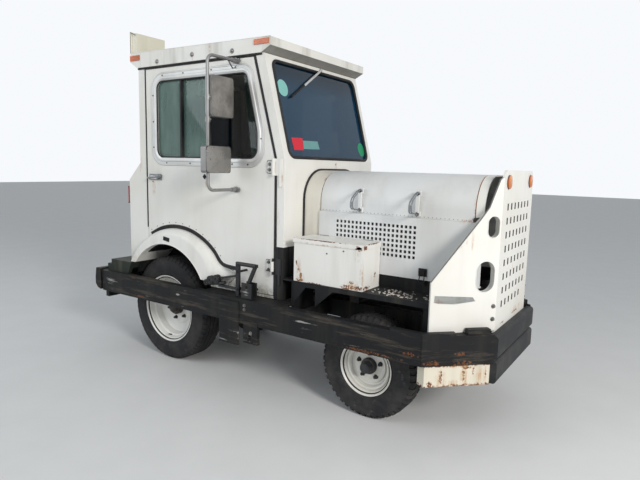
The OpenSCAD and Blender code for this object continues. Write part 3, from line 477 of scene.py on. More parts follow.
def worn_paint(name, base, wear=0.735, reach=0.34, soiling=0.35, gloss=0.38, spots=(), edges=(),
               dirty_below=None, scrapes=0.0, scrape_spots=(), peel=0.35, dark=None, drips=(), drawn=0.0,
               shine=0.5):
    """Old paint with grime streaks, rust where it is told to gather, and chips.

    wear is the noise level above which paint has rusted through, and reach lowers it near a spot.
    drips are soft run-offs of rust, drawn is how much the surface is rubbed along x, and dark is
    the x and z in front of and below which the paint is black. soiling is the strength of the
    grime streaks, and dirty_below the heights in mm between which grime grows downwards. scrapes is
    the noise level above which the paint is scraped bare, sooner near scrape_spots.
    """
    f = Finish(name)
    colours = bpy.context.scene.tug_colours
    broad = f.noise(1.7, detail=3)
    streak = f.noise(11, (1, 1, 0.10), detail=5)
    fine = f.noise(46, detail=7, rough=0.62)
    tint = tuple(c * k for c, k in zip(base, (0.90, 0.885, 0.85)))
    shade = f.mix(f.rise(broad, 0.40, 0.68), tuple(base), tint)
    soiled = f.maths("MULTIPLY", f.rise(streak, 0.50, 0.78), soiling)
    if dirty_below:
        low = f.rise(f.axis(2), dirty_below[0] / 1000, dirty_below[1] / 1000, 0.75)
        soiled = f.maths("MAXIMUM", soiled, f.maths("MULTIPLY", low, f.rise(fine, 0.36, 0.58)))
    shade = f.mix(soiled, shade, tuple(colours.soil))
    level = f.maths("MULTIPLY", f.near(spots, edges), f.rise(f.noise(95, detail=5, rough=0.7), 0.36, 0.55))
    patchy = f.maths("MULTIPLY", f.noise(9, (1, 1, 0.55), detail=4), 0.38)
    total = f.maths("ADD", f.maths("MULTIPLY", level, reach),
                    f.maths("ADD", f.maths("MULTIPLY", fine, 0.62), patchy))
    halo = f.rise(total, wear - 0.11, wear, 0.55)
    core = f.rise(total, wear - 0.012, wear + 0.02)
    stain = tuple(min(1, c * k + 0.02) for c, k in zip(colours.rust, (2.1, 2.3, 2.4)))
    shade = f.mix(halo, shade, stain)
    rust = f.mix(f.rise(fine, 0.4, 0.62), tuple(c * 0.45 for c in colours.rust), tuple(colours.rust))
    shade = f.mix(core, shade, rust)
    if drips:
        lines = f.maths("MULTIPLY", f.rise(f.noise(85, (1, 1, 0.07), detail=3), 0.40, 0.60),
                        f.rise(fine, 0.34, 0.56))
        trail = f.maths("MULTIPLY", f.rise(f.near(drips), 0.0, 0.7), lines)
        shade = f.mix(f.maths("MULTIPLY", trail, 0.72), shade, (0.46, 0.235, 0.085))
    height = f.maths("SUBTRACT", f.maths("MULTIPLY", f.noise(210, detail=2), 0.25), core)
    if drawn:
        rubbed = f.noise(30, (0.09, 0.09, 1), detail=9, rough=0.75)
        shade = f.mix(f.rise(rubbed, 0.51, 0.66, drawn), shade, (0.105, 0.088, 0.070))
        height = f.maths("ADD", height, f.maths("MULTIPLY", rubbed, 2.2))
    if scrapes:
        scratch = f.noise(60, (0.05, 0.05, 1), detail=7, rough=0.75)
        pull = f.maths("MULTIPLY", f.near(scrape_spots), 0.22) if scrape_spots else 0.0
        bare = f.rise(f.maths("ADD", scratch, pull), scrapes, scrapes + 0.04, 0.8)
        shade = f.mix(bare, shade, (0.42, 0.41, 0.39))
    if dark:
        front = f.near((), ((0, dark[0] - 1, dark[0]),))
        low = f.near((), ((2, dark[1], dark[1] - 1),))
        shade = f.mix(f.maths("MULTIPLY", front, low), shade, tuple(colours.black))
    f.bump(height, 0.0012, peel)
    f.shader.inputs["Specular IOR Level"].default_value = shine
    rough = f.maths("ADD", f.maths("MULTIPLY", core, 0.45), f.rise(streak, 0.3, 0.7, 0.16))
    f.finish(shade, f.maths("ADD", rough, gloss))


def plain_finish(name, base, rough, metal=0.0, grain=60, depth=0.3, variation=0.25, stretch=(1, 1, 1),
                 dust=(0.0, (0.3, 0.28, 0.24)), shine=0.5):
    """A material of one stuff: slight colour change, grain and a little dust of its own colour.

    rough is None on a polished face, which is a mirror but for its grain.
    """
    f = Finish(name)
    f.shader.inputs["Specular IOR Level"].default_value = shine
    broad = f.noise(4, stretch, detail=5)
    fine = f.noise(grain, stretch, detail=6)
    dim = tuple(c * (1 - variation) for c in base)
    shade = f.mix(f.rise(broad, 0.35, 0.65), dim, tuple(base))
    amount, tone = dust
    film = f.maths("MULTIPLY", f.rise(f.noise(7, detail=6, rough=0.65), 0.45, 0.72), amount)
    shade = f.mix(film, shade, tone)
    f.bump(fine, 0.0008, depth)
    if rough is None:
        f.finish(shade, f.rise(fine, 0.25, 0.75, 0.14), metal)
    else:
        f.finish(shade, f.maths("ADD", f.rise(broad, 0.3, 0.7, 0.15), rough - 0.07), metal)


def glass_finish(name, tint, alpha, dust=0.1, strip=None, film_tone=(0.35, 0.42, 0.40)):
    """Tinted glass with dust, and a darker strip above the height pair strip, in mm."""
    f = Finish(name)
    film = f.rise(f.noise(5, (1, 1, 0.3), detail=6), 0.42, 0.75, dust)
    shade = f.mix(film, tuple(tint), film_tone)
    see = f.maths("ADD", film, alpha, clamp=True)
    if strip:
        band = f.rise(f.axis(2), strip[0] / 1000, strip[1] / 1000)
        see = f.maths("MAXIMUM", see, f.maths("MULTIPLY", band, 0.97))
        shade = f.mix(band, shade, tuple(c * 0.35 for c in tint))
    f.feed(f.shader.inputs["Alpha"], see)
    f.shader.inputs["IOR"].default_value = 1.5
    f.shader.inputs["Specular IOR Level"].default_value = 0.3
    f.finish(shade, f.rise(f.noise(8, detail=5), 0.4, 0.8, 0.10))


def lens_finish(name, base):
    """Moulded lamp lens with a fine prism pattern."""
    f = Finish(name)
    inputs = {"Vector": f.place, "Scale": 70.0, "Distortion": 0.0}
    waves = f.add("ShaderNodeTexWave", inputs, bands_direction="Z")
    f.bump(waves.outputs["Fac"], 0.0012, 0.5)
    shade = f.mix(f.rise(f.noise(14, detail=4), 0.4, 0.7), tuple(base), tuple(c * 0.6 for c in base))
    f.finish(shade, 0.16, coat=0.5)


def tyre_finish(name, centre, dust):
    """Dusty rubber with fine rings round the wheel's centre, given as x and z in mm."""
    f = Finish(name)
    place = tuple(at(centre[0], 0, centre[1]))
    moved = f.add("ShaderNodeMapping", {"Vector": f.place, "Location": place}, vector_type="TEXTURE")
    flat = f.add("ShaderNodeVectorMath", {0: moved.outputs[0], 1: (1, 0, 1)},
                 operation="MULTIPLY").outputs[0]
    radius = f.add("ShaderNodeVectorMath", {0: flat}, operation="LENGTH").outputs["Value"]
    rings = f.maths("SINE", f.maths("MULTIPLY", radius, 900.0))
    dirt = f.maths("MULTIPLY", f.rise(f.noise(9, detail=6, rough=0.7), 0.40, 0.66), dust)
    f.shader.inputs["Specular IOR Level"].default_value = 0.2
    rubber = tuple(bpy.context.scene.tug_colours.rubber)
    shade = f.mix(dirt, rubber, (0.095, 0.090, 0.082))
    scuff = f.rise(f.noise(26, (1, 1, 1), detail=5, rough=0.7), 0.62, 0.72, 0.5)
    shade = f.mix(scuff, shade, (0.16, 0.155, 0.15))
    grain = f.maths("ADD", f.maths("MULTIPLY", rings, 0.10), f.noise(120, detail=4))
    f.bump(grain, 0.001, 0.35)
    f.finish(shade, f.maths("ADD", f.rise(dirt, 0, 0.5, 0.12), 0.72))


def dress(finish, *names):
    """Gives CAD nodes the finish of that name."""
    for name in names:
        mesh = NODES[name].data
        mesh.materials.clear()
        mesh.materials.append(PALETTE[finish])


# The wing's hand holes: middle along the wing and height, width and height in mm, and the reach of
# each one's collar about the same middle
WING_HOLES = ((40, 1048, 62, 102), (68, 816, 98, 148))
COLLARS = ((40, 1048, 42, 62), (68, 816, 60, 86))


class TUG_OT_finishes(bpy.types.Operator):
    """Makes the materials and gives each CAD node its own"""

    bl_idname = "tug.finishes"
    bl_label = "Finishes"

    def cab_paints(self, colours):
        """White paints of the cab, with its doors, fenders and roof."""
        worn_paint(
            "cab_white", colours.white, wear=0.80, soiling=0.16, reach=0.5, dark=(912, 858),
            dirty_below=(640, 560),
            spots=((-231, -485, 640, 70, 40, 40), (930, -485, 690, 16, 20, 40), (975, 30, 1322, 8, 12, 16)),
            drips=((905, -485, 1185, 10, 12, 70), (960, -486, 1230, 8, 12, 60), (975, 30, 1305, 8, 12, 40),
                   (-230, -485, 1300, 20, 12, 90), (940, -486, 1010, 10, 12, 70)))
        worn_paint(
            "door_white", colours.white, wear=0.80, soiling=0.10, reach=0.5, dirty_below=(640, 575),
            spots=((400, -486, 585, 160, 12, 14), (-100, -486, 1182, 34, 10, 12)),
            drips=((-100, -486, 1140, 22, 12, 60), (770, -486, 700, 20, 12, 60),
                   (380, -486, 1190, 12, 12, 40)))
        worn_paint(
            "fender_white", colours.white, wear=0.76, soiling=0.2, gloss=0.36,
            spots=((-252, -540, 650, 22, 30, 16), (-225, -530, 668, 16, 30, 20),
                   (560, -535, 640, 30, 20, 24)),
            drips=((-240, -540, 668, 26, 40, 34), (600, -500, 665, 16, 20, 14)))
        worn_paint(
            "roof_white", colours.white, wear=0.79, soiling=0.48,
            drips=((282, -500, 1930, 12, 12, 36), (604, -500, 1925, 10, 12, 30),
                   (-33, -500, 1905, 10, 12, 30), (430, -500, 1965, 14, 12, 40)))
        # Darker grey paint with grime streaks: painted shade under the roof's overhangs
        worn_paint("eave_painted_shade", (0.30, 0.29, 0.27), wear=0.79, soiling=0.6, gloss=0.5)

    def front_paints(self, colours):
        """Paints of the shield, the bonnet, the toolbox and the front weights."""
        worn_paint(
            "shield_white", colours.white, wear=0.80, soiling=0.07, gloss=0.36, reach=0.55,
            spots=((2086, -160, 566, 10, 70, 10), (2086, 80, 576, 10, 120, 12),
                   (*on_wing(212, 955), 5, 5, 5)),
            drips=((*on_wing(145, 988), 9, 9, 56), (*on_wing(205, 960), 10, 10, 14),
                   (*on_wing(175, 985), 9, 9, 24), (2086, 110, 585, 10, 140, 26), (2086, 96, 690, 8, 8, 40),
                   (2086, -32, 820, 8, 8, 40), (2086, 160, 955, 8, 8, 40),
                   (*on_wing(230, 705), 110, 110, 8)))
        worn_paint("shield_edge", (0.27, 0.26, 0.24), wear=0.74, soiling=0.5, gloss=0.5)
        # Dark paint with grime streaks: painted shade on the walls of the shield's slots
        worn_paint("slot_painted_shade", (0.085, 0.080, 0.072), wear=0.70, soiling=0.6, gloss=0.55)
        worn_paint("peeled_patch", (0.56, 0.58, 0.58), wear=0.66, soiling=0.5, gloss=0.5)
        worn_paint(
            "bonnet_grey", colours.bonnet, wear=0.80, soiling=0.14, reach=0.5,
            spots=((1967, -300, 1100, 10, 30, 60), (1964, -300, 1078, 20, 30, 24),
                   (1967, 0, 1284, 8, 300, 8)),
            drips=((1972, -300, 1130, 20, 30, 120), (1972, -240, 1250, 16, 90, 50),
                   (1352, -302, 1060, 10, 10, 30), (1680, -302, 1060, 10, 10, 30),
                   (1940, -302, 1060, 60, 20, 16)))
        worn_paint("seam_rust", colours.rust, wear=0.6, soiling=0.5, gloss=0.6)
        worn_paint(
            "band_cream", (0.78, 0.75, 0.68), wear=0.79, soiling=0.25,
            drips=((1090, -300, 1060, 10, 30, 120), (1090, -240, 1240, 12, 90, 50)))
        worn_paint(
            "toolbox_white", colours.white, wear=0.80, soiling=0.20, reach=0.85,
            spots=((1458, -497, 904, 34, 24, 24), (1486, -480, 908, 12, 40, 22),
                   (1240, -500, 922, 240, 12, 5), (1074, -497, 790, 9, 14, 22),
                   (1088, -497, 758, 10, 14, 24), (1104, -497, 724, 13, 14, 26),
                   (1096, -497, 697, 46, 14, 15), (1200, -497, 690, 100, 14, 6),
                   (1400, -497, 700, 76, 14, 20), (1462, -497, 703, 40, 14, 24),
                   (1420, -497, 728, 24, 14, 14), (1487, -450, 699, 14, 70, 18),
                   (1487, -300, 705, 14, 60, 26), (1487, -364, 755, 12, 20, 26),
                   (1484, -400, 922, 10, 100, 6)),
            drips=((1090, -497, 750, 20, 16, 80), (1100, -497, 712, 40, 16, 34),
                   (1450, -497, 872, 26, 16, 44), (1487, -384, 739, 14, 30, 60),
                   (1487, -300, 720, 14, 30, 60), (1478, -492, 757, 16, 20, 80),
                   (1430, -497, 712, 60, 16, 34), (1200, -500, 900, 260, 16, 8)))
        worn_paint(
            "weight_paint", colours.weight, wear=0.74, soiling=0.22, gloss=0.55, reach=0.62, peel=0.8,
            edges=((2, 332, 302), (2, 400, 416)),
            spots=((1918, -511, 358, 13, 13, 80), (1999, -432, 368, 14, 14, 70),
                   (2033, -398, 372, 12, 12, 70), (2077, -355, 372, 10, 10, 80),
                   (1880, -548, 320, 22, 22, 40), (2010, -420, 400, 40, 40, 18)),
            drips=((1918, -511, 350, 32, 32, 60), (2004, -427, 355, 34, 34, 60),
                   (2060, -372, 355, 36, 36, 60), (1960, -470, 325, 60, 60, 22),
                   (1990, -440, 408, 120, 120, 12)))

    def frame_paints(self, colours):
        """Paints of the rails, brackets, deck, linkage and rims."""
        worn_paint(
            "rail_black", colours.black, wear=0.80, soiling=0.10, gloss=0.46, reach=0.42, scrapes=0.64,
            peel=0.9, drawn=0.6, shine=0.15,
            spots=((1560, -593, 426, 360, 30, 13), (1790, -593, 462, 80, 30, 20),
                   (-540, -580, 470, 30, 60, 60), (1890, -560, 430, 70, 70, 28),
                   (2000, -455, 424, 90, 90, 26), (1990, -465, 470, 50, 50, 12),
                   (-205, -592, 546, 95, 20, 9), (-130, -593, 432, 110, 20, 12),
                   (-600, -590, 430, 40, 60, 16), (-560, -590, 568, 70, 40, 10),
                   (500, 593, 424, 1200, 30, 8)),
            scrape_spots=((1174, -593, 498, 80, 16, 18), (240, -593, 500, 26, 12, 14),
                          (-440, -593, 500, 110, 16, 40), (755, -600, 345, 20, 30, 30)))
        worn_paint("bracket_black", colours.black, wear=0.78, soiling=0.18, gloss=0.45, scrapes=0.70,
                   shine=0.15)
        worn_paint("frame_black", colours.black, wear=0.75, soiling=0.35, gloss=0.6, peel=0.8, shine=0.15)
        worn_paint("deck_grey", colours.deck, wear=0.76, soiling=0.35, gloss=0.5, shine=0.2)
        worn_paint(
            "linkage_black", colours.black, wear=0.76, soiling=0.12, gloss=0.4, scrapes=0.66, shine=0.35,
            scrape_spots=((792, -584, 596, 62, 24, 46),))
        worn_paint("rim_white", colours.white, wear=0.755, soiling=0.18, gloss=0.34)

    def rubber_and_metal(self, colours):
        """Rubber, bare metal and the tyres' dusty rubber."""
        plain_finish("paint_flakes", (0.80, 0.73, 0.66), 0.7, grain=50, variation=0.55,
                     dust=(0.3, (0.5, 0.33, 0.27)))
        plain_finish("seal_rubber", colours.rubber, 0.62, grain=90, dust=(0.25, (0.13, 0.125, 0.115)),
                     shine=0.2)
        plain_finish("bumper_rubber", (0.026, 0.027, 0.029), 0.60, grain=70, variation=0.45,
                     dust=(0.4, (0.095, 0.092, 0.086)), shine=0.25)
        tyre_finish("rear_tyre_rubber", (0, REAR_AXLE_Z), 0.35)
        tyre_finish("front_tyre_rubber", (WHEELBASE, FRONT_AXLE_Z), 0.4)
        plain_finish("window_aluminium", (0.60, 0.60, 0.585), 0.42, 0.45, 40, 0.2, 0.15, (1, 1, 0.2),
                     (0.35, (0.36, 0.34, 0.31)))
        plain_finish("bolt_steel", (0.30, 0.29, 0.28), 0.40, 0.85, 80, 0.3, 0.45,
                     dust=(0.5, (0.10, 0.06, 0.035)))
        plain_finish("latch_steel", (0.36, 0.38, 0.40), 0.28, 0.9, 60, 0.2, 0.4,
                     dust=(0.4, (0.16, 0.17, 0.18)))
        plain_finish("cast_iron", (0.05, 0.051, 0.053), 0.6, 0.3, 60, 0.7, 0.5,
                     dust=(0.6, (0.09, 0.075, 0.055)))
        plain_finish("hub_grease", (0.035, 0.026, 0.020), 0.45, 0.2, 50, 0.6, 0.5,
                     dust=(0.5, (0.07, 0.05, 0.035)))

    def glass_and_plastic(self, colours):
        """Glass, mirrors, lamps and the cab's inner plastics."""
        glass_finish("windscreen_glass", colours.screen, 0.89, 0.07, (1735, 1850), (0.05, 0.13, 0.18))
        glass_finish("door_glass", colours.pane, 0.62, 0.20)
        glass_finish("sliding_glass", (0.13, 0.21, 0.18), 0.66, 0.34)
        plain_finish("mirror_plastic", (0.17, 0.16, 0.15), 0.6, grain=55, variation=0.35,
                     dust=(0.8, (0.34, 0.32, 0.29)))
        plain_finish("mirror_lower_shell", (0.36, 0.345, 0.325), 0.30, 0.55, 45, 0.3, 0.3,
                     dust=(0.4, (0.30, 0.28, 0.25)))
        plain_finish("mirror_silver", (0.75, 0.77, 0.78), None, 0.95, 5, 0.0, 0.03)
        plain_finish("mirror_tube", (0.30, 0.30, 0.295), 0.42, 0.55, 45, 0.3, 0.4,
                     dust=(0.5, (0.34, 0.33, 0.31)))
        lens_finish("amber_lens", colours.amber)
        lens_finish("shield_amber_lens", (0.74, 0.215, 0.012))
        lens_finish("red_lens", colours.red)
        worn_paint("cream_plastic", colours.cream, wear=0.80, soiling=0.15, gloss=0.3)
        plain_finish("dash_plastic", (0.030, 0.032, 0.035), 0.55, grain=160, depth=0.5,
                     dust=(0.35, (0.10, 0.10, 0.095)))
        plain_finish("seat_vinyl", colours.vinyl, 0.42, grain=190, depth=0.55, variation=0.3,
                     dust=(0.3, (0.09, 0.088, 0.085)))

    def dress_nodes(self):
        """Gives each CAD node its finish."""
        dress("cab_white", "cab_shell", "rear_body")
        dress("door_white", *both("door"))
        dress("fender_white", *both("fender"))
        dress("roof_white", "roof_cap")
        dress("shield_white", "front_shield", "bonnet_nose")
        dress("bonnet_grey", "bonnet_lid", *both("bonnet_side"))
        dress("band_cream", "bonnet_rear_band")
        dress("toolbox_white", "toolbox", "toolbox_lid")
        dress("weight_paint", "front_weights")
        dress("rail_black", *both("side_rail"))
        dress("bracket_black", "rear_bumper", "towing_jaw", *both("shelf"), "wiper")
        dress("frame_black", "chassis_frame", "front_axle", "rear_axle", "leaf_springs")
        dress("deck_grey", "rear_deck")
        dress("linkage_black", "side_linkage")
        dress("rim_white", *both("front_rim"), *both("rear_rim"))
        dress("bumper_rubber", "front_bumper")
        dress("cast_iron", "engine_block", *both("knuckle"))
        dress("windscreen_glass", "windscreen", "rear_window")
        dress("mirror_tube", *both("mirrors"))
        dress("amber_lens", "marker_lamps")
        dress("red_lens", "tail_lamps")
        dress("cream_plastic", "roof_box")
        dress("dash_plastic", "dashboard", "steering_wheel", "cab_floor")
        dress("seat_vinyl", "seats")
        dress("rear_tyre_rubber", *both("rear_tyre"))
        dress("front_tyre_rubber", *both("front_tyre"))

    def execute(self, context):
        colours = context.scene.tug_colours
        for make in (self.cab_paints, self.front_paints, self.frame_paints, self.rubber_and_metal,
                     self.glass_and_plastic):
            make(colours)
        self.dress_nodes()
        self.roof_faces()
        self.shield_faces()
        return {"FINISHED"}

    def roof_faces(self):
        """Paints shade on the sloping undersides of the roof's overhangs, in a darker grimy paint."""
        mesh = NODES["roof_cap"].data
        mesh.materials.append(PALETTE["eave_painted_shade"])
        for face in mesh.polygons:
            if face.normal.z < -0.3 and abs(face.normal.x) > 0.3:
                face.material_index = 1

    def shield_faces(self):
        """Paints shade on the slots' walls in a dark paint, and greys the wings' edges."""
        mesh = NODES["front_shield"].data
        mesh.materials.append(PALETTE["slot_painted_shade"])
        mesh.materials.append(PALETTE["shield_edge"])
        for face in mesh.polygons:
            x, y, z = (face.center.x - AXLE_X) * 1000, abs(face.center.y) * 1000, face.center.z * 1000
            in_slots = SHIELD_X - 11.5 < x < SHIELD_X - 0.5 and y < 206 and 640 < z < 1156
            along = math.hypot(SHIELD_X - x, y + FOLD_Y)
            lean = abs(face.normal.x * WING_OUT.x - abs(face.normal.y) * WING_OUT.y)
            at_hole = any(abs(along - s) < reach and abs(z - h) < rise for s, h, reach, rise in COLLARS)
            if in_slots and abs(face.normal.x) < 0.1:
                face.material_index = 1
            elif y > 1 - FOLD_Y and face.normal.z > 0.12 and lean < 0.3 and not at_hole:
                face.material_index = 2


# Wheels


def spin_profile(bm, centre, profile, steps, closed=True):
    """Turns pairs of radius and y in mm about the wheel's axle."""
    x, z = centre
    points = [bm.verts.new(at(x, y, z + r)) for r, y in profile]
    links = list(zip(points, points[1:])) + ([(points[-1], points[0])] if closed else [])
    edges = [bm.edges.new(pair) for pair in links]
    bmesh.ops.spin(
        bm, geom=points + edges, cent=at(x, 0, z), axis=(0, 1, 0), angle=math.tau, steps=steps,
        use_merge=True, use_duplicate=False,
    )
    bmesh.ops.remove_doubles(bm, verts=bm.verts, dist=2 * MERGE)


def tyre_profile(outer, flange, width, grooves, depth):
    """Section of a tyre: pairs of radius and distance from its side, both in mm."""
    side = [(flange - 15.5, 9), (flange + 1, 8.6), (flange + 4, 5), (flange + 10, 2.4), (flange + 14, 3.2),
            (flange + 30, 0.6), (flange + 44, 0), (outer - 46, 1.6), (outer - 28, 5.2), (outer - 22, 4.4),
            (outer - 12, 10.5), (outer - 4, 17), (outer - 0.8, 24)]
    tread = [(outer, 29)]
    for place in grooves:
        tread += [(outer, place - 3.5), (outer - depth, place - 2), (outer - depth, place + 2),
                  (outer, place + 3.5)]
    tread.append((outer, width - 29))
    return side + tread + [(r, width - s) for r, s in reversed(side)]


class TUG_OT_wheels(bpy.types.Operator):
    """Makes the treaded tyres, dished rims, hubs and wheel nuts"""

    bl_idname = "tug.wheels"
    bl_label = "Wheels"

    def tyre(self, name, centre, size, edge, shoulder, grooves, lugs, depth, body, finish):
        """Treaded tyre; size is its radius, its flange's radius and its width, and edge its lowest y.

        shoulder is how far the notches between its lugs reach in from its sides, all in mm.
        """
        outer, flange, width = size
        bm = bmesh.new()
        profile = [(r, edge + s) for r, s in tyre_profile(outer, flange, width, grooves, depth)]
        steps = lugs * 2
        spin_profile(bm, centre, profile, steps)
        middle = at(centre[0], 0, centre[1])
        notches = []
        for face in bm.faces:
            spot = face.calc_center_median() - middle
            radius = math.hypot(spot.x, spot.z) * 1000
            step = math.floor((math.atan2(spot.z, spot.x) % math.tau) / math.tau * steps)
            side = min(spot.y * 1000 - edge, edge + width - spot.y * 1000)
            if step % 2 and radius > outer - 25 and side < shoulder:
                notches.append(face)
        bmesh.ops.recalc_face_normals(bm, faces=bm.faces)
        sunk = depth * (0.55 if outer > 300 else 1) / 1000
        bmesh.ops.inset_region(bm, faces=notches, thickness=0.0012, depth=-sunk, use_boundary=True,
                               use_even_offset=True)
        piece = make_piece(name, bm, body, "tyre", finish, angle=30)
        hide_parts(name.replace("tread", "tyre"))

    def rim(self, name, centre, flange, edge, width, dish, hub, studs, stud_at, finish):
        """Dished rims of both sides with their nuts; edge is the y of the right one's outer lip.

        dish is how deep the disc lies behind the lip, and stud_at the radius of the studs' circle.
        """
        disc = dish - 6
        front = [(flange, 1.5), (flange - 1, 0), (flange - 5, 0.4), (flange - 10, 5), (flange - 13, 13),
                 (flange - 20, 17), (flange - 24, 34), (flange - 28, disc * 0.5),
                 (flange - 38, disc * 0.54), (flange - 42, disc * 0.72), (flange - 46, disc),
                 (flange - 58, dish), (flange * 0.55, dish + 1), (flange * 0.50, dish - 7),
                 (stud_at + 26, dish - 8), (hub, dish - 8)]
        back = [(flange - 28, disc * 0.5), (flange - 29, width * 0.66), (flange - 15, width * 0.82),
                (flange - 12, width - 8), (flange - 3, width)]
        bm = bmesh.new()
        for profile in (front, back):
            part = bmesh.new()
            spin_profile(part, centre, [(r, edge + d) for r, d in profile], 72, closed=False)
            bmesh.ops.recalc_face_normals(part, faces=part.faces)
            bmesh.ops.solidify(part, geom=part.faces[:], thickness=0.004)
            absorb(bm, part)
        dishes = make_pair(name + "_dish", bm, name + "_wheel", "rim_paint", "rim_white", angle=28)
        for piece, node in zip(dishes, both(name + "_rim")):
            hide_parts(node)
        nuts = bmesh.new()
        face_y = edge + dish - 8
        for i in range(studs):
            turn = math.tau * (i + 0.25) / studs
            x, z = centre[0] + stud_at * math.cos(turn), centre[1] + stud_at * math.sin(turn)
            add_rod(nuts, (x, face_y + 1, z), (x, face_y - 4, z), 14, 20, 11)
            add_rod(nuts, (x, face_y, z), (x, face_y - 15, z), 10, 6)
            add_rod(nuts, (x, face_y, z), (x, face_y - 22, z), 5.5, 12)
        make_pair(name + "_nuts", nuts, name + "_wheel", "cast_iron", finish, angle=40)

    def hub(self, name, centre, outline, body, finish):
        """Hubs of both sides with their caps; outline is pairs of radius and y in mm."""
        bm = bmesh.new()
        spin_profile(bm, centre, outline, 40, closed=False)
        bmesh.ops.holes_fill(bm, edges=[e for e in bm.edges if e.is_boundary])
        make_pair(name, bm, body, "cast_iron", finish)

    def execute(self, context):
        sizes = context.scene.tug_sizes
        depth = sizes.groove * 1000
        rear, front = (0, REAR_AXLE_Z), (WHEELBASE, FRONT_AXLE_Z)
        for side, edge_r, edge_f in (("right", -469, -439), ("left", 297, 293)):
            self.tyre("rear_tread_" + side, rear, (345, 223, 172), edge_r, 30, (52, 86, 120), 60, depth,
                      "rear_wheel_" + side, "rear_tyre_rubber")
            self.tyre("front_tread_" + side, front, (274, 151, 146), edge_f, 38, (50, 73, 96), sizes.lugs,
                      depth, "front_wheel_" + side, "front_tyre_rubber")
        self.rim("rear", rear, 223, -467, 168, 96, 50, 6, 84, "hub_grease")
        self.rim("front", front, 151, -437, 142, 60, 42, 5, 66, "cast_iron")
        rear_hub = [(52, -330), (52, -408), (49, -414), (40, -418), (36, -430), (30, -434), (0.5, -434)]
        front_hub = [(43, -338), (43, -404), (40, -410), (32, -413), (30, -438), (26, -446), (14, -451),
                     (0.5, -452)]
        self.hub("rear_hub", rear, rear_hub, "rear_wheel", "hub_grease")
        self.hub("front_hub", front, front_hub, "front_wheel", "cast_iron")
        valve = bmesh.new()
        add_rod(valve, (0, -440, REAR_AXLE_Z - 186), (0, -466, REAR_AXLE_Z - 176), 4, 10, 3.2)
        make_pair("rear_valve", valve, "rear_wheel", "rubber", "seal_rubber")
        return {"FINISHED"}


# Cab


# Middles in x and z of the wheel arch's inner and outer edges, and the fender's rim and the inner
# edge of its face as pairs of an angle and a radius about the outer one
ARCH_IN = (65, 420)
ARCH_OUT = (108, 420)
ARCH_R = 375
FENDER_RIM = [(142, 466), (131, 467), (119, 468), (107, 470), (95, 472), (83, 474.5), (71, 478), (58, 482),
              (47, 485), (38, 484)]
FENDER_FACE = [(142, 443), (131, 437), (119, 430), (107, 426), (95, 426), (83, 429), (71, 432), (58, 431),
               (47, 424), (38, 408)]
FENDER_Y = -540
WELL_Y = -262


def arch_line(grow):
    """Line of x and z on the door that follows the fender's edge at the distance grow."""
    arc = around(ARCH_OUT, [(a, r + grow) for a, r in FENDER_RIM if a < 125])
    return smooth_line([*arc, (545, 692 + grow), (632, 686 + grow)])


